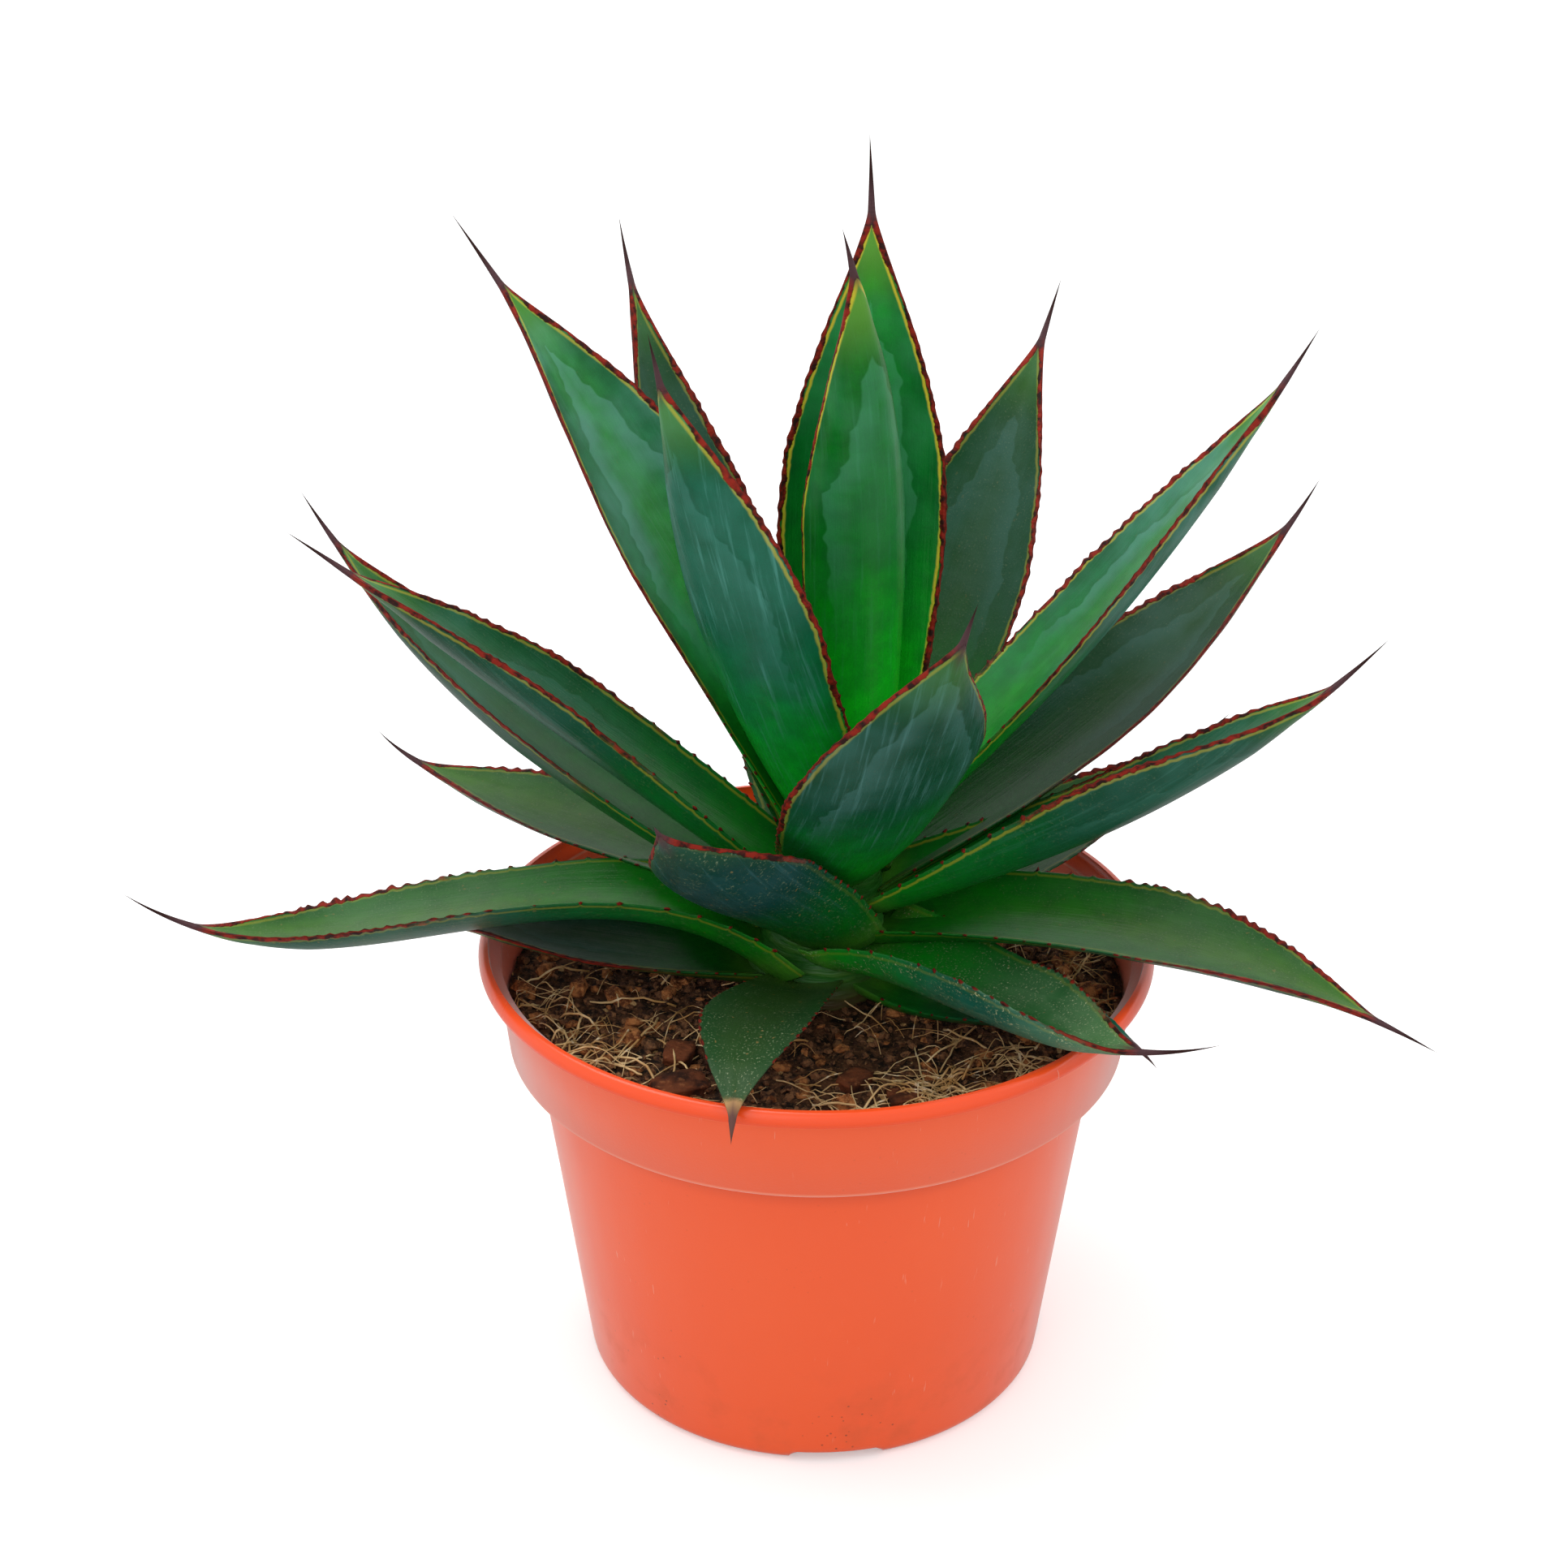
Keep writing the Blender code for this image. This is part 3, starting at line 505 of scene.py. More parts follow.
def floor_material(settings):
    material, n, shader = new_material("Pale floor", 0.7, 0.2)
    seen = n.add("ShaderNodeLightPath").outputs["Is Camera Ray"]
    dim = tuple(settings.floor_bounce * part for part in settings.floor_colour)
    n.put(shader.inputs["Base Color"], n.mix(seen, (*dim, 1.0), (*settings.floor_colour, 1.0)))
    shader.inputs["Emission Color"].default_value = (1.0, 1.0, 1.0, 1.0)
    n.put(shader.inputs["Emission Strength"], n.times(seen, settings.floor_glow))
    return material


# Shapes


def add_object(name, data):
    made = bpy.data.objects.new(name, data)
    bpy.context.scene.collection.objects.link(made)
    return made


def add_mesh(name, shape, material):
    """Turns a finished bmesh into an object at the origin."""
    mesh = bpy.data.meshes.new(name)
    shape.to_mesh(mesh)
    shape.free()
    mesh.materials.append(material)
    return add_object(name, mesh)


def new_piece(name, shape, material, smooth=True):
    """A finished bmesh as a piece of the fixed body."""
    piece = add_mesh(name, shape, material)
    if smooth:
        piece.data.shade_smooth()
    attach(piece, "root")
    return piece


def lathe(profile, steps, rounds=()):
    """A closed turned body from (radius, height) points down its outer side, with some corners rounded."""
    shape = bmesh.new()
    verts = [shape.verts.new((radius, 0.0, height)) for radius, height in profile]
    for pair in zip(verts, verts[1:]):
        shape.edges.new(pair)
    for index, size in rounds:
        bmesh.ops.bevel(shape, geom=[verts[index]], offset=size, segments=3, profile=0.5, affect="VERTICES",
                        material=-1)
    bmesh.ops.spin(shape, geom=list(shape.verts) + list(shape.edges), axis=(0, 0, 1), cent=(0, 0, 0),
                   angle=math.tau, steps=steps, use_merge=True, use_duplicate=False)
    bmesh.ops.remove_doubles(shape, verts=shape.verts, dist=1e-6)
    bmesh.ops.recalc_face_normals(shape, faces=shape.faces)
    return shape


def stem_radius(share):
    """Radius of the stem, in millimetres, at a share of its length down from its tip."""
    return STEM_TIP_RADIUS + (STEM_RADIUS - STEM_TIP_RADIUS) * share ** STEM_TAPER


def midrib(row):
    """Bezier points of a leaf's midrib, in metres."""
    heading, height, tip, droop, bow = row[:5]
    facing = row[7]
    handle = row[12] if len(row) > 12 else HANDLE
    out = Vector((math.cos(math.radians(heading)), math.sin(math.radians(heading)), 0.0))
    base = Vector((FOOT_SLOPE * (height - STEM_WAIST), 0.0, height))
    base += out * stem_radius((STEM_WAIST + STEM_LENGTH - height) / STEM_LENGTH)
    chord = Vector(tip) - base
    across = Vector((-math.sin(math.radians(facing)), math.cos(math.radians(facing)), 0.0))
    upper = chord.cross(across).normalized()
    across = upper.cross(chord).normalized()
    first = base + chord / 3 - upper * droop[0] + across * bow[0]
    second = base + chord * handle - upper * droop[1] + across * bow[1]
    return [np.array(point) * MM for point in (base, first, second, tip)]


def three(values, share):
    """Value at a share of the blade on the parabola through values at 0, a half and 1."""
    first, middle, last = values
    early = first * (1 - share) * (1 - 2 * share) + middle * 4 * share * (1 - share)
    return early + last * share * (2 * share - 1)


def bezier(points, s):
    """Places on the cubic through four control points, at shares s of it."""
    a, b, c, d = points
    return a * (1 - s) ** 3 + 3 * b * s * (1 - s) ** 2 + 3 * c * s ** 2 * (1 - s) + d * s ** 3


def unit(rows):
    return rows / np.maximum(np.linalg.norm(rows, axis=-1, keepdims=True), 1e-12)


def blade_width(share, foot):
    """Width along the blade, as a share of the full width."""
    climb = foot + (1 - foot) * np.sin(np.clip(share / WIDEST_AT, 0, 1) * np.pi / 2) ** 0.9
    fall = np.clip((share - WIDEST_AT) / (1 - WIDEST_AT), 0, 1)
    return np.where(share < WIDEST_AT, climb, (1 - fall ** 1.55) * (1 - 0.25 * fall ** 4))


def soft_step(value, low, high):
    share = np.clip((value - low) / (high - low), 0, 1)
    return share * share * (3 - 2 * share)


def teeth_along(places, blade, size, dice):
    """Height of the teeth along one margin: sharp and spaced low down, fused and ragged higher up."""
    heights = np.zeros_like(places)
    place = 6 * MM
    while place < blade * 0.93:
        share = place / blade
        sharp = share < 0.45
        tall = size * MM * dice.uniform(0.55, 1.25) * (1.0 if sharp else 0.8)
        tall *= 1 - soft_step(share, 0.75, 0.93)
        foot = (0.9 if sharp else 1.3) * MM * dice.uniform(0.8, 1.4)
        lean = dice.uniform(-0.35, 0.35)
        reach = (places - place) / foot
        fall = np.where(reach < lean, (reach + 1) / (1 + lean), (1 - reach) / (1 - lean))
        heights = np.maximum(heights, tall * np.clip(fall, 0, 1) ** (1.5 if sharp else 0.8))
        place += foot * dice.uniform(1.3, 1.8) + (dice.uniform(1.5, 5.0) * MM * (0.5 + size) if sharp
                                                  else dice.uniform(0.2, 2.2) * MM)
    return heights


def leaf_shape(row, number, settings):
    """A leaf with a cupped blade, a toothed horny margin and an end spine."""
    points = midrib(row)
    facing, twist, cup, _, size = row[7:12]
    width, spine = row[5] * MM, row[6] * MM
    dice = random.Random(100 + number)
    around, along = settings.around, settings.along
    fine = np.linspace(0, 1, 801)[:, None]
    a, b, c, d = points
    curve = bezier(points, fine)
    run = np.concatenate([[0], np.cumsum(np.linalg.norm(np.diff(curve, axis=0), axis=1))])
    total = run[-1]
    blade = total - spine
    root = -4 * MM
    reach = root + (total - root) * np.linspace(0, 1, along + 1)
    share = np.interp(reach, run, fine[:, 0])
    s = share[:, None]
    place = bezier(points, s)
    ahead = unit((b - a) * (1 - s) ** 2 + 2 * (c - b) * s * (1 - s) + (d - c) * s ** 2)
    place += ahead * np.minimum(reach, 0)[:, None]
    flat = np.array([-math.sin(math.radians(facing)), math.cos(math.radians(facing)), 0.0])
    upper = unit(np.cross(ahead, flat))
    across = np.cross(upper, ahead)
    part = np.clip(reach / blade, 0, 1)
    turn = np.radians(three(twist, part))[:, None]
    across, upper = across * np.cos(turn) + upper * np.sin(turn), upper * np.cos(turn) - across * np.sin(turn)

    past = np.clip((reach - blade) / spine, 0, 1)
    pin = settings.spine_width * (1 - past) ** 1.15
    pin *= 1 if spine > 4 * MM else 0.6
    foot = 0.6 if row[1] > LOW_FOOT else 0.95 if row[1] > LOWEST_FOOT else 0.75
    body = width * blade_width(part, foot) * (reach < blade)
    chord = np.sqrt(body ** 2 + pin ** 2)
    wobble = np.array([noise.noise(Vector((number * 7.3, r * 90, 0.5))) for r in reach])
    chord *= 1 + 0.02 * wobble * soft_step(part, 0.1, 0.3) * (1 - soft_step(part, 0.85, 1.0))
    slim = soft_step(reach, blade - 14 * MM, blade + 2 * MM)
    angle = np.radians(three(cup, part)) * (1 - slim) + math.radians(70) * slim
    radius = chord / np.maximum(angle, 0.2)
    thick = LEAF_THICKNESS * (0.62 + 0.38 * (1 - part)) * np.clip((1 - part) / 0.2, 0.55, 1)
    thick = np.where(reach < blade, thick, 0) * (1 - slim) + 0.75 * pin * slim
    rim = MARGIN_THICKNESS * (1 - slim) + 0.1 * pin * slim

    shape = bmesh.new()
    bmesh.ops.create_grid(shape, x_segments=around, y_segments=along, size=1.0)
    flat_places = np.array([vert.co[:2] for vert in shape.verts])
    column = np.rint((flat_places[:, 0] + 1) / 2 * around).astype(int)
    ring = np.rint((flat_places[:, 1] + 1) / 2 * along).astype(int)
    spot = column / around
    u = -np.cos(2 * np.pi * spot)
    side = np.sin(2 * np.pi * spot)
    face = np.where(side >= 0, 1.0, -1.0)
    depth = 0.5 * (thick[ring] * (1 - np.abs(u) ** 2.2) + rim[ring] * np.sqrt(np.abs(side)))
    ripple = [noise.noise(Vector((x * 2.2 + number * 5.1, y * 16.0, 1.7))) for x, y in zip(u, reach[ring])]
    swell = settings.ripple * np.array(ripple) * (1 - np.abs(u) ** 4)
    swell *= soft_step(part[ring], 0.05, 0.3) * (1 - slim[ring])
    radial = radius[ring] - face * depth + swell
    bend = u * angle[ring] / 2
    teeth = [teeth_along(reach, blade, size, dice) for _ in range(2)]
    tooth = np.where(u < 0, teeth[0][ring], teeth[1][ring])
    weight = np.clip((np.abs(u) - 0.955) / 0.045, 0, 1)
    poke = tooth * weight * np.sign(u)
    x = radial * np.sin(bend) + poke * np.cos(bend)
    y = radius[ring] - radial * np.cos(bend) + poke * np.sin(bend)
    spots = place[ring] + across[ring] * x[:, None] + upper[ring] * y[:, None]

    blade_layer = shape.verts.layers.float_vector.new("blade")
    edge_layer = shape.verts.layers.float_vector.new("edge")
    growth_layer = shape.verts.layers.float_vector.new("growth")
    half = chord[ring] / 2
    inset = half * (1 - np.abs(u)) + 0.5 * tooth * (1 - weight)
    lower = np.where(np.abs(side) < 1e-6, 0.5, np.where(side > 0, 0.0, 1.0))
    uv_layer = shape.loops.layers.uv.new("Leaf")
    order = {}
    for index, vert in enumerate(shape.verts):
        k = ring[index]
        vert[blade_layer] = (u[index] * half[index] / MM, reach[k] / MM, (blade - reach[k]) / MM)
        vert[edge_layer] = (inset[index] / MM, lower[index], weight[index] * tooth[index] / (size * MM))
        vert[growth_layer] = (number, part[k], 0.0)
        order[vert] = (column[index] / around, k / along)
    for polygon in shape.faces:
        for loop in polygon.loops:
            loop[uv_layer].uv = order[loop.vert]
    for vert, spot_at in zip(shape.verts, spots):
        vert.co = spot_at
    bmesh.ops.remove_doubles(shape, verts=shape.verts, dist=2e-6)
    bmesh.ops.holes_fill(shape, edges=[edge for edge in shape.edges if edge.is_boundary], sides=0)
    bmesh.ops.recalc_face_normals(shape, faces=shape.faces)
    return shape


# Settings


def length(name, description, default):
    return FloatProperty(name=name, description=description, default=default, unit="LENGTH", subtype="DISTANCE")


def paint(name, description, default):
    return FloatVectorProperty(name=name, description=description, default=default, subtype="COLOR", size=3,
                               min=0, max=1)


class PotSettings(bpy.types.PropertyGroup):
    steps: IntProperty(name="Turning steps", description="Steps round the turned pot", default=192, min=48)
    wall: length("Wall", "Thickness of the moulded wall", 1.2 * MM)
    foot_radius: length("Foot radius", "Outer radius of the foot", 59.6 * MM)
    channel_width: length("Channel width", "Width of each drainage channel in the base", 20.0 * MM)
    channel_depth: length("Channel depth", "Height of each notch in the foot", 3.0 * MM)
    colour: paint("Plastic", "Colour of the plastic", colour("FA5E26")[:3])


class SoilSettings(bpy.types.PropertyGroup):
    level: length("Level", "Height of the soil at the wall", 105.0 * MM)
    crumbs: IntProperty(name="Crumbs", description="Loose crumbs on the soil", default=2400, min=0)
    fibres: IntProperty(name="Fibres", description="Coir and root fibres on the soil", default=560, min=0)


class LeafSettings(bpy.types.PropertyGroup):
    around: IntProperty(name="Round the leaf", description="Points round each section", default=36, min=12)
    along: IntProperty(name="Along the leaf", description="Sections along each leaf", default=300, min=60)
    horn_width: length("Horn width", "Width of the horny margin", 1.2 * MM)
    spine_width: length("Spine width", "Width of the end spine at its foot", 1.8 * MM)
    ripple: length("Ripple", "Height of the blade's slow waves", 0.5 * MM)
    horn_colour: paint("Horn", "Red-brown of the margin", colour("8A2010")[:3])
    horn_dark: paint("Dark horn", "Black-brown of old horn", colour("2A0E0A")[:3])
    thread_colour: paint("Margin line", "Yellow line beside the horn", colour("C8B830")[:3])
    spine_colour: paint("Spine", "Purple-brown of the spines", colour("4E3438")[:3])


class StageSettings(bpy.types.PropertyGroup):
    floor_colour: paint("Floor", "Colour of the floor", (0.9, 0.9, 0.9))
    floor_bounce: FloatProperty(name="Floor bounce", description="Share of its light that the floor returns",
                                default=0.65, min=0, max=1)
    floor_glow: FloatProperty(name="Floor glow", description="Brightness added to the floor where it is seen",
                              default=0.3)
    light: FloatProperty(name="Light", description="Strength of the overhead softbox, in watts", default=5.0)
    surround: FloatProperty(name="Surround", description="Strength of the white surround", default=1.0)


# Operators


class AGAVE_OT_pot(bpy.types.Operator):
    """Add the moulded nursery pot"""

    bl_idname = "agave.pot"
    bl_label = "Pot"

    def execute(self, context):
        settings = context.scene.agave_pot
        wall, step, top = settings.wall, STEP_HEIGHT, POT_HEIGHT
        low = top - 3.4 * MM
        lip = LIP_RADIUS
        foot = settings.foot_radius
        below, above, collar = BELOW_STEP, ABOVE_STEP, COLLAR_RADIUS

        def outer(height):
            return foot + (below - foot) * height / step

        pad, mid_roof = 22.0 * MM, 4 * MM
        rings = [0.0, 8 * MM, pad - 1 * MM, pad + 0.2 * MM, pad + 2 * MM, 35 * MM, 48 * MM]
        profile = [(ring, wall) for ring in rings]
        profile += [(outer(0) - wall - 3.2 * MM, wall), (outer(wall) - wall - 0.3 * MM, wall + 1.6 * MM)]
        profile += [(outer(mid_roof + wall + 2 * MM) - wall, mid_roof + wall + 2 * MM)]
        profile += [(below - wall, step + wall * 0.6), (above - wall, step + wall)]
        profile += [(collar - wall, low), (lip - 3.1 * MM, low + 1.4 * MM), (lip - 2.5 * MM, top)]
        corner = len(profile)
        profile += [(lip - 1.3 * MM, top), (lip - 0.55 * MM, top - 0.9 * MM), (lip, low + 0.7 * MM)]
        profile += [(lip - 0.15 * MM, low), (collar + 0.2 * MM, low + 0.1 * MM), (collar, low - 0.6 * MM)]
        profile += [(above, step + 0.4 * MM), (above - 0.4 * MM, step), (below + 0.2 * MM, step)]
        profile += [(below, step - 1.2 * MM)]
        for height in (60, 30, 8, 4.5, 3.2, 2.2, 1.3, 0.6):
            drawn = 2.5 * MM - min(height * MM, 2.5 * MM)
            profile.append((outer(height * MM) - drawn * drawn / (2.5 * MM) * 0.8, height * MM))
        profile += [(foot - 2.4 * MM, 0.0), (foot - 5 * MM, 0.0)]
        profile += [(ring, 0.0) for ring in reversed(rings)]
        shape = lathe(profile, settings.steps, rounds=((corner, 0.5 * MM), (corner + 2, 0.35 * MM)))
        self.press_channels(shape, settings, pad, wall)
        bmesh.ops.recalc_face_normals(shape, faces=shape.faces)
        pot = new_piece("moulded_pot", shape, pot_material(settings))
        pot.data.set_sharp_from_angle(angle=math.radians(55))
        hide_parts("pot")
        return {"FINISHED"}

    def press_channels(self, shape, settings, pad, wall):
        """Raises four straight channels in the base, and a notch in the foot at the end of each."""
        quarter = math.pi / 2
        heading = CHANNEL_HEADING
        half = settings.channel_width / 2
        splay = 2.0 * MM
        foot, deep = settings.foot_radius, settings.channel_depth
        cells = settings.steps // 4
        inside = round(math.asin(half / foot) / (quarter / cells))
        for vert in shape.verts:
            radius = math.hypot(vert.co.x, vert.co.y)
            if radius < pad - 2 * MM or vert.co.z > 9 * MM or radius > foot + 3 * MM:
                continue
            angle = math.atan2(vert.co.y, vert.co.x) - heading
            sector = round(angle / quarter)
            local = angle - sector * quarter
            index = round(local / (quarter / cells))
            size = abs(index)
            if size <= inside:
                offset = half * size / inside
                target = math.asin(min(offset / radius, 0.99))
            elif size == inside + 1:
                target = math.asin(min((half + splay) / radius, 0.99))
            else:
                edge = math.asin(min((half + splay) / radius, 0.99))
                target = edge + (quarter / 2 - edge) * (size - inside - 1) / (cells / 2 - inside - 1)
            blend = 1 - soft_step(vert.co.z, 4.4 * MM, 8.5 * MM)
            local = local + (math.copysign(target, index) - local) * blend if index else local
            full = heading + sector * quarter + local
            vert.co.x, vert.co.y = radius * math.cos(full), radius * math.sin(full)
            if size <= inside and radius >= pad:
                if vert.co.z < wall * 0.9:
                    vert.co.z = deep
                elif radius < foot - 2.2 * MM and vert.co.z < deep + wall:
                    vert.co.z = deep + wall
                elif vert.co.z < deep:
                    vert.co.z = deep + 0.02 * MM


def soil_height(x, y, level):
    """Height of the soil surface, with a low mound round the stem and a crumbly relief."""
    radius = math.hypot(x, y)
    mound = MOUND_HEIGHT * float(soft_step(MOUND_FOOT - radius, 0.0, MOUND_FOOT - MOUND_TOP))
    lumps = noise.fractal(Vector((x * 120, y * 120, 3.0)), 0.7, 2.1, 5) * 1.5 * MM
    slow = noise.noise(Vector((x * 30, y * 30, 8.0))) * 1.2 * MM
    return level + mound + lumps + slow + 0.4 * MM


class AGAVE_OT_soil(bpy.types.Operator):
    """Add the soil, its crumbs and its fibres"""

    bl_idname = "agave.soil"
    bl_label = "Soil"

    def execute(self, context):
        settings = context.scene.agave_soil
        level = settings.level
        soil = grit_material("Peat soil", "180D07", "5E3C26", "A88458", 360.0, 0.45)
        profile = [(0.0, level)] + [(r * MM, level) for r in np.linspace(3, 77.6, 50)]
        profile += [(77.8 * MM, level - 1.5 * MM), (76.4 * MM, 94.8 * MM), (69.8 * MM, 94.4 * MM)]
        profile += [(57.6 * MM, 6.2 * MM), (0.0, 6.2 * MM)]
        bed = lathe(profile, 180)
        for vert in bed.verts:
            if abs(vert.co.z - level) < 0.01 * MM:
                vert.co.z = soil_height(vert.co.x, vert.co.y, level)
        piece = new_piece("soil_bed", bed, soil)
        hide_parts("soil")
        self.add_crumbs(settings, level)
        self.add_fibres(settings, level)
        return {"FINISHED"}

    def spot(self, dice, edge=76.0):
        radius = edge * MM * math.sqrt(dice.uniform(0.06, 1.0))
        heading = dice.uniform(0, math.tau)
        return radius * math.cos(heading), radius * math.sin(heading)

    def add_crumbs(self, settings, level):
        kinds = (
            ("soil_crumbs", settings.crumbs, (0.6, 1.9), ("38221A", "8A6040", "B88C5C"), "soil"),
            ("bark_bits", settings.crumbs // 8, (1.3, 3.4), ("66381C", "BE7C48", "E0AE78"), "bark"),
            ("pale_bits", settings.crumbs // 10, (0.4, 1.2), ("9A7648", "D0AC78", "F0DCB0"), "soil"),
        )
        for number, (name, count, sizes, shades, slot) in enumerate(kinds):
            dice = random.Random(40 + number)
            shape = bmesh.new()
            for _ in range(count):
                x, y = self.spot(dice)
                size = dice.uniform(*sizes) * MM * dice.choice((0.7, 1.0, 1.0, 1.3))
                flat = Vector((1.0, dice.uniform(0.5, 0.9), dice.uniform(0.3, 0.65))) * size
                turn = Euler((dice.uniform(-0.5, 0.5), dice.uniform(-0.5, 0.5), dice.uniform(0, 6.3)))
                lie = Matrix.Translation((x, y, soil_height(x, y, level) + flat.z * 0.3))
                place = lie @ turn.to_matrix().to_4x4()
                made = bmesh.ops.create_icosphere(shape, subdivisions=1, radius=1.0)
                for vert in made["verts"]:
                    rough = 1 + dice.uniform(-0.3, 0.25)
                    vert.co = place @ Vector([a * b * rough for a, b in zip(vert.co, flat)])
            piece = new_piece(name, shape, grit_material(name, *shades, 500.0, 0.4), smooth=False)

    def add_fibres(self, settings, level):
        """Thin curved strands lying on and sticking out of the soil."""
        dice = random.Random(77)
        data = bpy.data.curves.new("fibres", "CURVE")
        data.dimensions = "3D"
        data.bevel_depth = 0.13 * MM
        data.bevel_resolution = 0
        data.use_fill_caps = True
        for number in range(settings.fibres):
            x, y = self.spot(dice, 77.0)
            if number % 2:
                heading = math.radians(dice.choice((-66, -62, -58, -12, -150)) + dice.gauss(0, 13))
                radius = min(77.0, 66 + dice.gauss(0, 8)) * MM
                x, y = radius * math.cos(heading), radius * math.sin(heading)
            heading = dice.uniform(0, math.tau)
            curl = dice.uniform(-0.12, 0.12)
            length = dice.uniform(5, 22) * MM
            girth = dice.choice((0.8, 1.0, 1.2, 1.7, 2.6))
            steps = 8
            lift = dice.uniform(0.4, 2.6) * MM
            strand = data.splines.new("POLY")
            strand.points.add(steps)
            for step in range(steps + 1):
                share = step / steps
                rise = lift * math.sin(math.pi * share) + 0.6 * MM
                z = soil_height(x, y, level) + rise
                strand.points[step].co = (x, y, z, 1.0)
                strand.points[step].radius = girth * dice.uniform(0.75, 1.15)
                heading += curl * dice.uniform(0.3, 1.3)
                nx, ny = x + math.cos(heading) * length / steps, y + math.sin(heading) * length / steps
                if math.hypot(nx, ny) < 77.2 * MM:
                    x, y = nx, ny
        holder = add_object("fibres", data)
        shape = bmesh.new()
        ready = holder.evaluated_get(bpy.context.evaluated_depsgraph_get())
        shape.from_mesh(bpy.data.meshes.new_from_object(ready))
        bpy.data.objects.remove(holder, do_unlink=True)
        bmesh.ops.remove_doubles(shape, verts=shape.verts, dist=1e-6)
        bmesh.ops.recalc_face_normals(shape, faces=shape.faces)
        straw = grit_material("Coir", "B88C54", "EBCB94", "FFF4D8", 90.0, 0.6, 0.0002, 0.7)
        piece = new_piece("coir_fibres", shape, straw)


class AGAVE_OT_chips(bpy.types.Operator):
    """Add the bark chips and the wood splinter"""

    bl_idname = "agave.chips"
    bl_label = "Bark and splinter"

    def execute(self, context):
        level = context.scene.agave_soil.level
        for number, (name, row) in enumerate(CHIPS.items()):
            splinter = name == "wood_splinter"
            away, distance, length, width, thick, turn = row
            shape = bmesh.new()
            bmesh.ops.create_cube(shape, size=1.0)
            bmesh.ops.subdivide_edges(shape, edges=shape.edges, cuts=7 if splinter else 5, use_grid_fill=True)
            heading = math.radians(away)
            place = Matrix.Translation((math.cos(heading) * distance * MM, math.sin(heading) * distance * MM,
                                        level + 0.3 * MM)) @ Matrix.Rotation(math.radians(turn), 4, "Z")
            for vert in shape.verts:
                x, y, z = vert.co
                jag = noise.noise_vector(Vector((x * 4 + number * 9, y * 4, z * 3)))
                jag *= 0.35 if splinter else 0.5
                taper = 1 - (0.75 * abs(x) ** 1.6 if splinter else 0.25 * abs(2 * x) ** 3)
                local = Vector(((x + 0.12 * jag.x) * length, (y * taper + 0.16 * jag.y) * width,
                                (z * (1 - 0.25 * abs(2 * x) ** 2) + 0.5 + 0.12 * jag.z) * thick))
                vert.co = place @ (local * MM)
            if splinter:
                material = grit_material("Split wood", "B98A54", "E2BE86", "F6E4BC", 120.0, 0.6, 0.0004, 0.75)
            else:
                material = grit_material("Bark", "2E160C", "6E3A20", "A06840", 150.0, 0.4, 0.001)
            piece = new_piece("rough_" + name, shape, material)
            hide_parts(name)
        return {"FINISHED"}


class AGAVE_OT_stem(bpy.types.Operator):
    """Add the leaning stem"""

    bl_idname = "agave.stem"
    bl_label = "Stem"

    def execute(self, context):
        rings = 24
        profile = [(0.0, STEM_LENGTH)]
        profile += [(stem_radius(step / rings), STEM_LENGTH - STEM_LENGTH * step / rings)
                    for step in range(rings + 1)]
        profile += [(16.5, -6), (15, -12), (9, -24), (0.0, -28)]
        shape = lathe([(radius * MM, height * MM) for radius, height in profile], 72)
        lean = Matrix.Translation((0.0, 0.0, STEM_WAIST * MM)) @ Matrix.Rotation(STEM_LEAN, 4, "Y")
        for vert in shape.verts:
            swell = noise.noise(vert.co * 160) * 0.35 * MM
            outward = Vector((vert.co.x, vert.co.y, 0.0)).normalized()
            vert.co = lean @ (vert.co + outward * swell)
        piece = new_piece("leafy_stem", shape, stem_material())
        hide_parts("stem")
        return {"FINISHED"}


class AGAVE_OT_leaves(bpy.types.Operator):
    """Add the leaves of the rosette"""

    bl_idname = "agave.leaves"
    bl_label = "Leaves"

    def execute(self, context):
        settings = context.scene.agave_leaves
        for number, (name, row) in enumerate(LEAVES.items()):
            shape = leaf_shape(row, number, settings)
            piece = new_piece("horned_" + name, shape, leaf_material(row[10], settings))
            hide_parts(name)
        return {"FINISHED"}


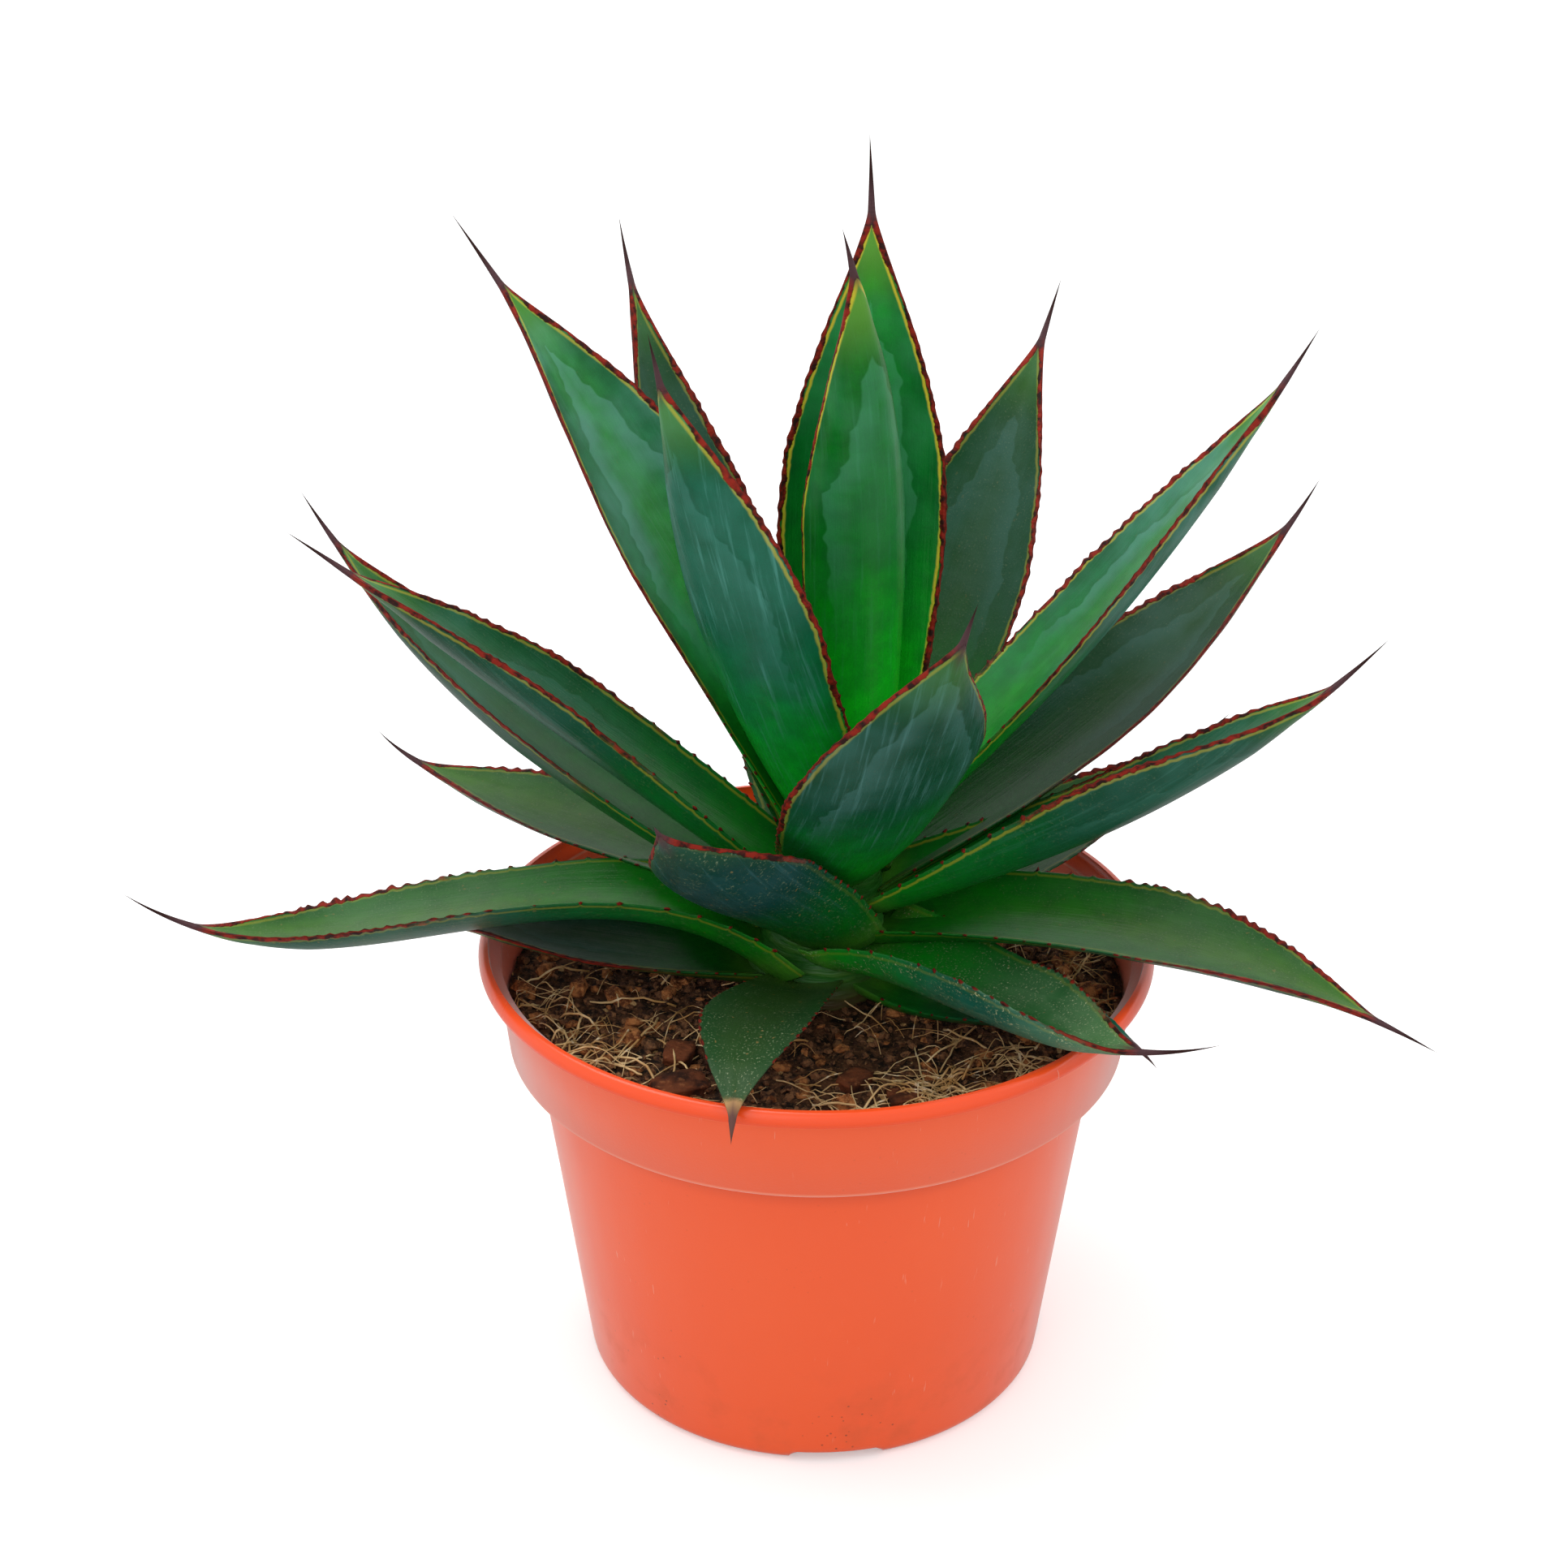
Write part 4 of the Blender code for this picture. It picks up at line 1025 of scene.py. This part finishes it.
class AGAVE_OT_stage(bpy.types.Operator):
    """Add the floor, the lights and the camera"""

    bl_idname = "agave.stage"
    bl_label = "Stage"

    def execute(self, context):
        settings = context.scene.agave_stage
        shape = bmesh.new()
        bmesh.ops.create_grid(shape, x_segments=1, y_segments=1, size=3.0)
        floor = add_mesh("Floor", shape, floor_material(settings))

        world = bpy.data.worlds.new("Studio")
        context.scene.world = world
        context.scene.view_settings.view_transform = "Standard"
        world.use_nodes = True
        backdrop = world.node_tree.nodes["Background"]
        backdrop.inputs["Color"].default_value = (1.0, 1.0, 1.0, 1.0)
        backdrop.inputs["Strength"].default_value = settings.surround

        self.softbox("Overhead", (-0.35, 0.15, 1.15), (0.0, 0.0, 0.15), 0.9, settings.light)
        self.softbox("Front fill", (-0.5, -1.3, 0.9), (0.0, 0.0, 0.1), 1.0, settings.light * 0.35)
        self.softbox("Side", (1.2, -0.2, 0.7), (0.0, 0.0, 0.15), 0.7, settings.light * 0.25)

        camera_data = bpy.data.cameras.new("Camera")
        camera_data.lens = CAMERA_LENS
        camera = add_object("Camera", camera_data)
        camera.location = CAMERA_PLACE
        camera.rotation_euler = (CAMERA_TILT, 0.0, 0.0)
        context.scene.camera = camera
        return {"FINISHED"}

    def softbox(self, name, place, target, size, power):
        data = bpy.data.lights.new(name, "AREA")
        data.shape = "DISK"
        data.size = size
        data.energy = power
        light = add_object(name, data)
        light.location = place
        light.rotation_euler = (Vector(target) - Vector(place)).to_track_quat("-Z", "Y").to_euler()


class AGAVE_PT_panel(bpy.types.Panel):
    """Potted agave"""

    bl_idname = "AGAVE_PT_panel"
    bl_label = "Potted agave"
    bl_space_type = "VIEW_3D"
    bl_region_type = "UI"
    bl_category = "Agave"

    def draw(self, context):
        for operator, settings in STEPS:
            box = self.layout.box()
            box.operator(operator)
            group = getattr(context.scene, settings, None)
            if group:
                for key in group.__annotations__:
                    box.prop(group, key)


STEPS = (
    ("agave.pot", "agave_pot"),
    ("agave.soil", "agave_soil"),
    ("agave.chips", ""),
    ("agave.stem", ""),
    ("agave.leaves", "agave_leaves"),
    ("agave.stage", "agave_stage"),
)
GROUPS = {
    "agave_pot": PotSettings,
    "agave_soil": SoilSettings,
    "agave_leaves": LeafSettings,
    "agave_stage": StageSettings,
}
CLASSES = (*GROUPS.values(), AGAVE_OT_pot, AGAVE_OT_soil, AGAVE_OT_chips, AGAVE_OT_stem, AGAVE_OT_leaves,
           AGAVE_OT_stage, AGAVE_PT_panel)


def register():
    for item in CLASSES:
        bpy.utils.register_class(item)
    for name, group in GROUPS.items():
        setattr(bpy.types.Scene, name, PointerProperty(type=group))


def unregister():
    for name in GROUPS:
        delattr(bpy.types.Scene, name)
    for item in reversed(CLASSES):
        bpy.utils.unregister_class(item)


def main():
    register()
    bpy.ops.agave.pot()
    bpy.ops.agave.soil()
    bpy.ops.agave.chips()
    bpy.ops.agave.stem()
    bpy.ops.agave.leaves()
    bpy.ops.agave.stage()


if __name__ == "__main__":
    main()
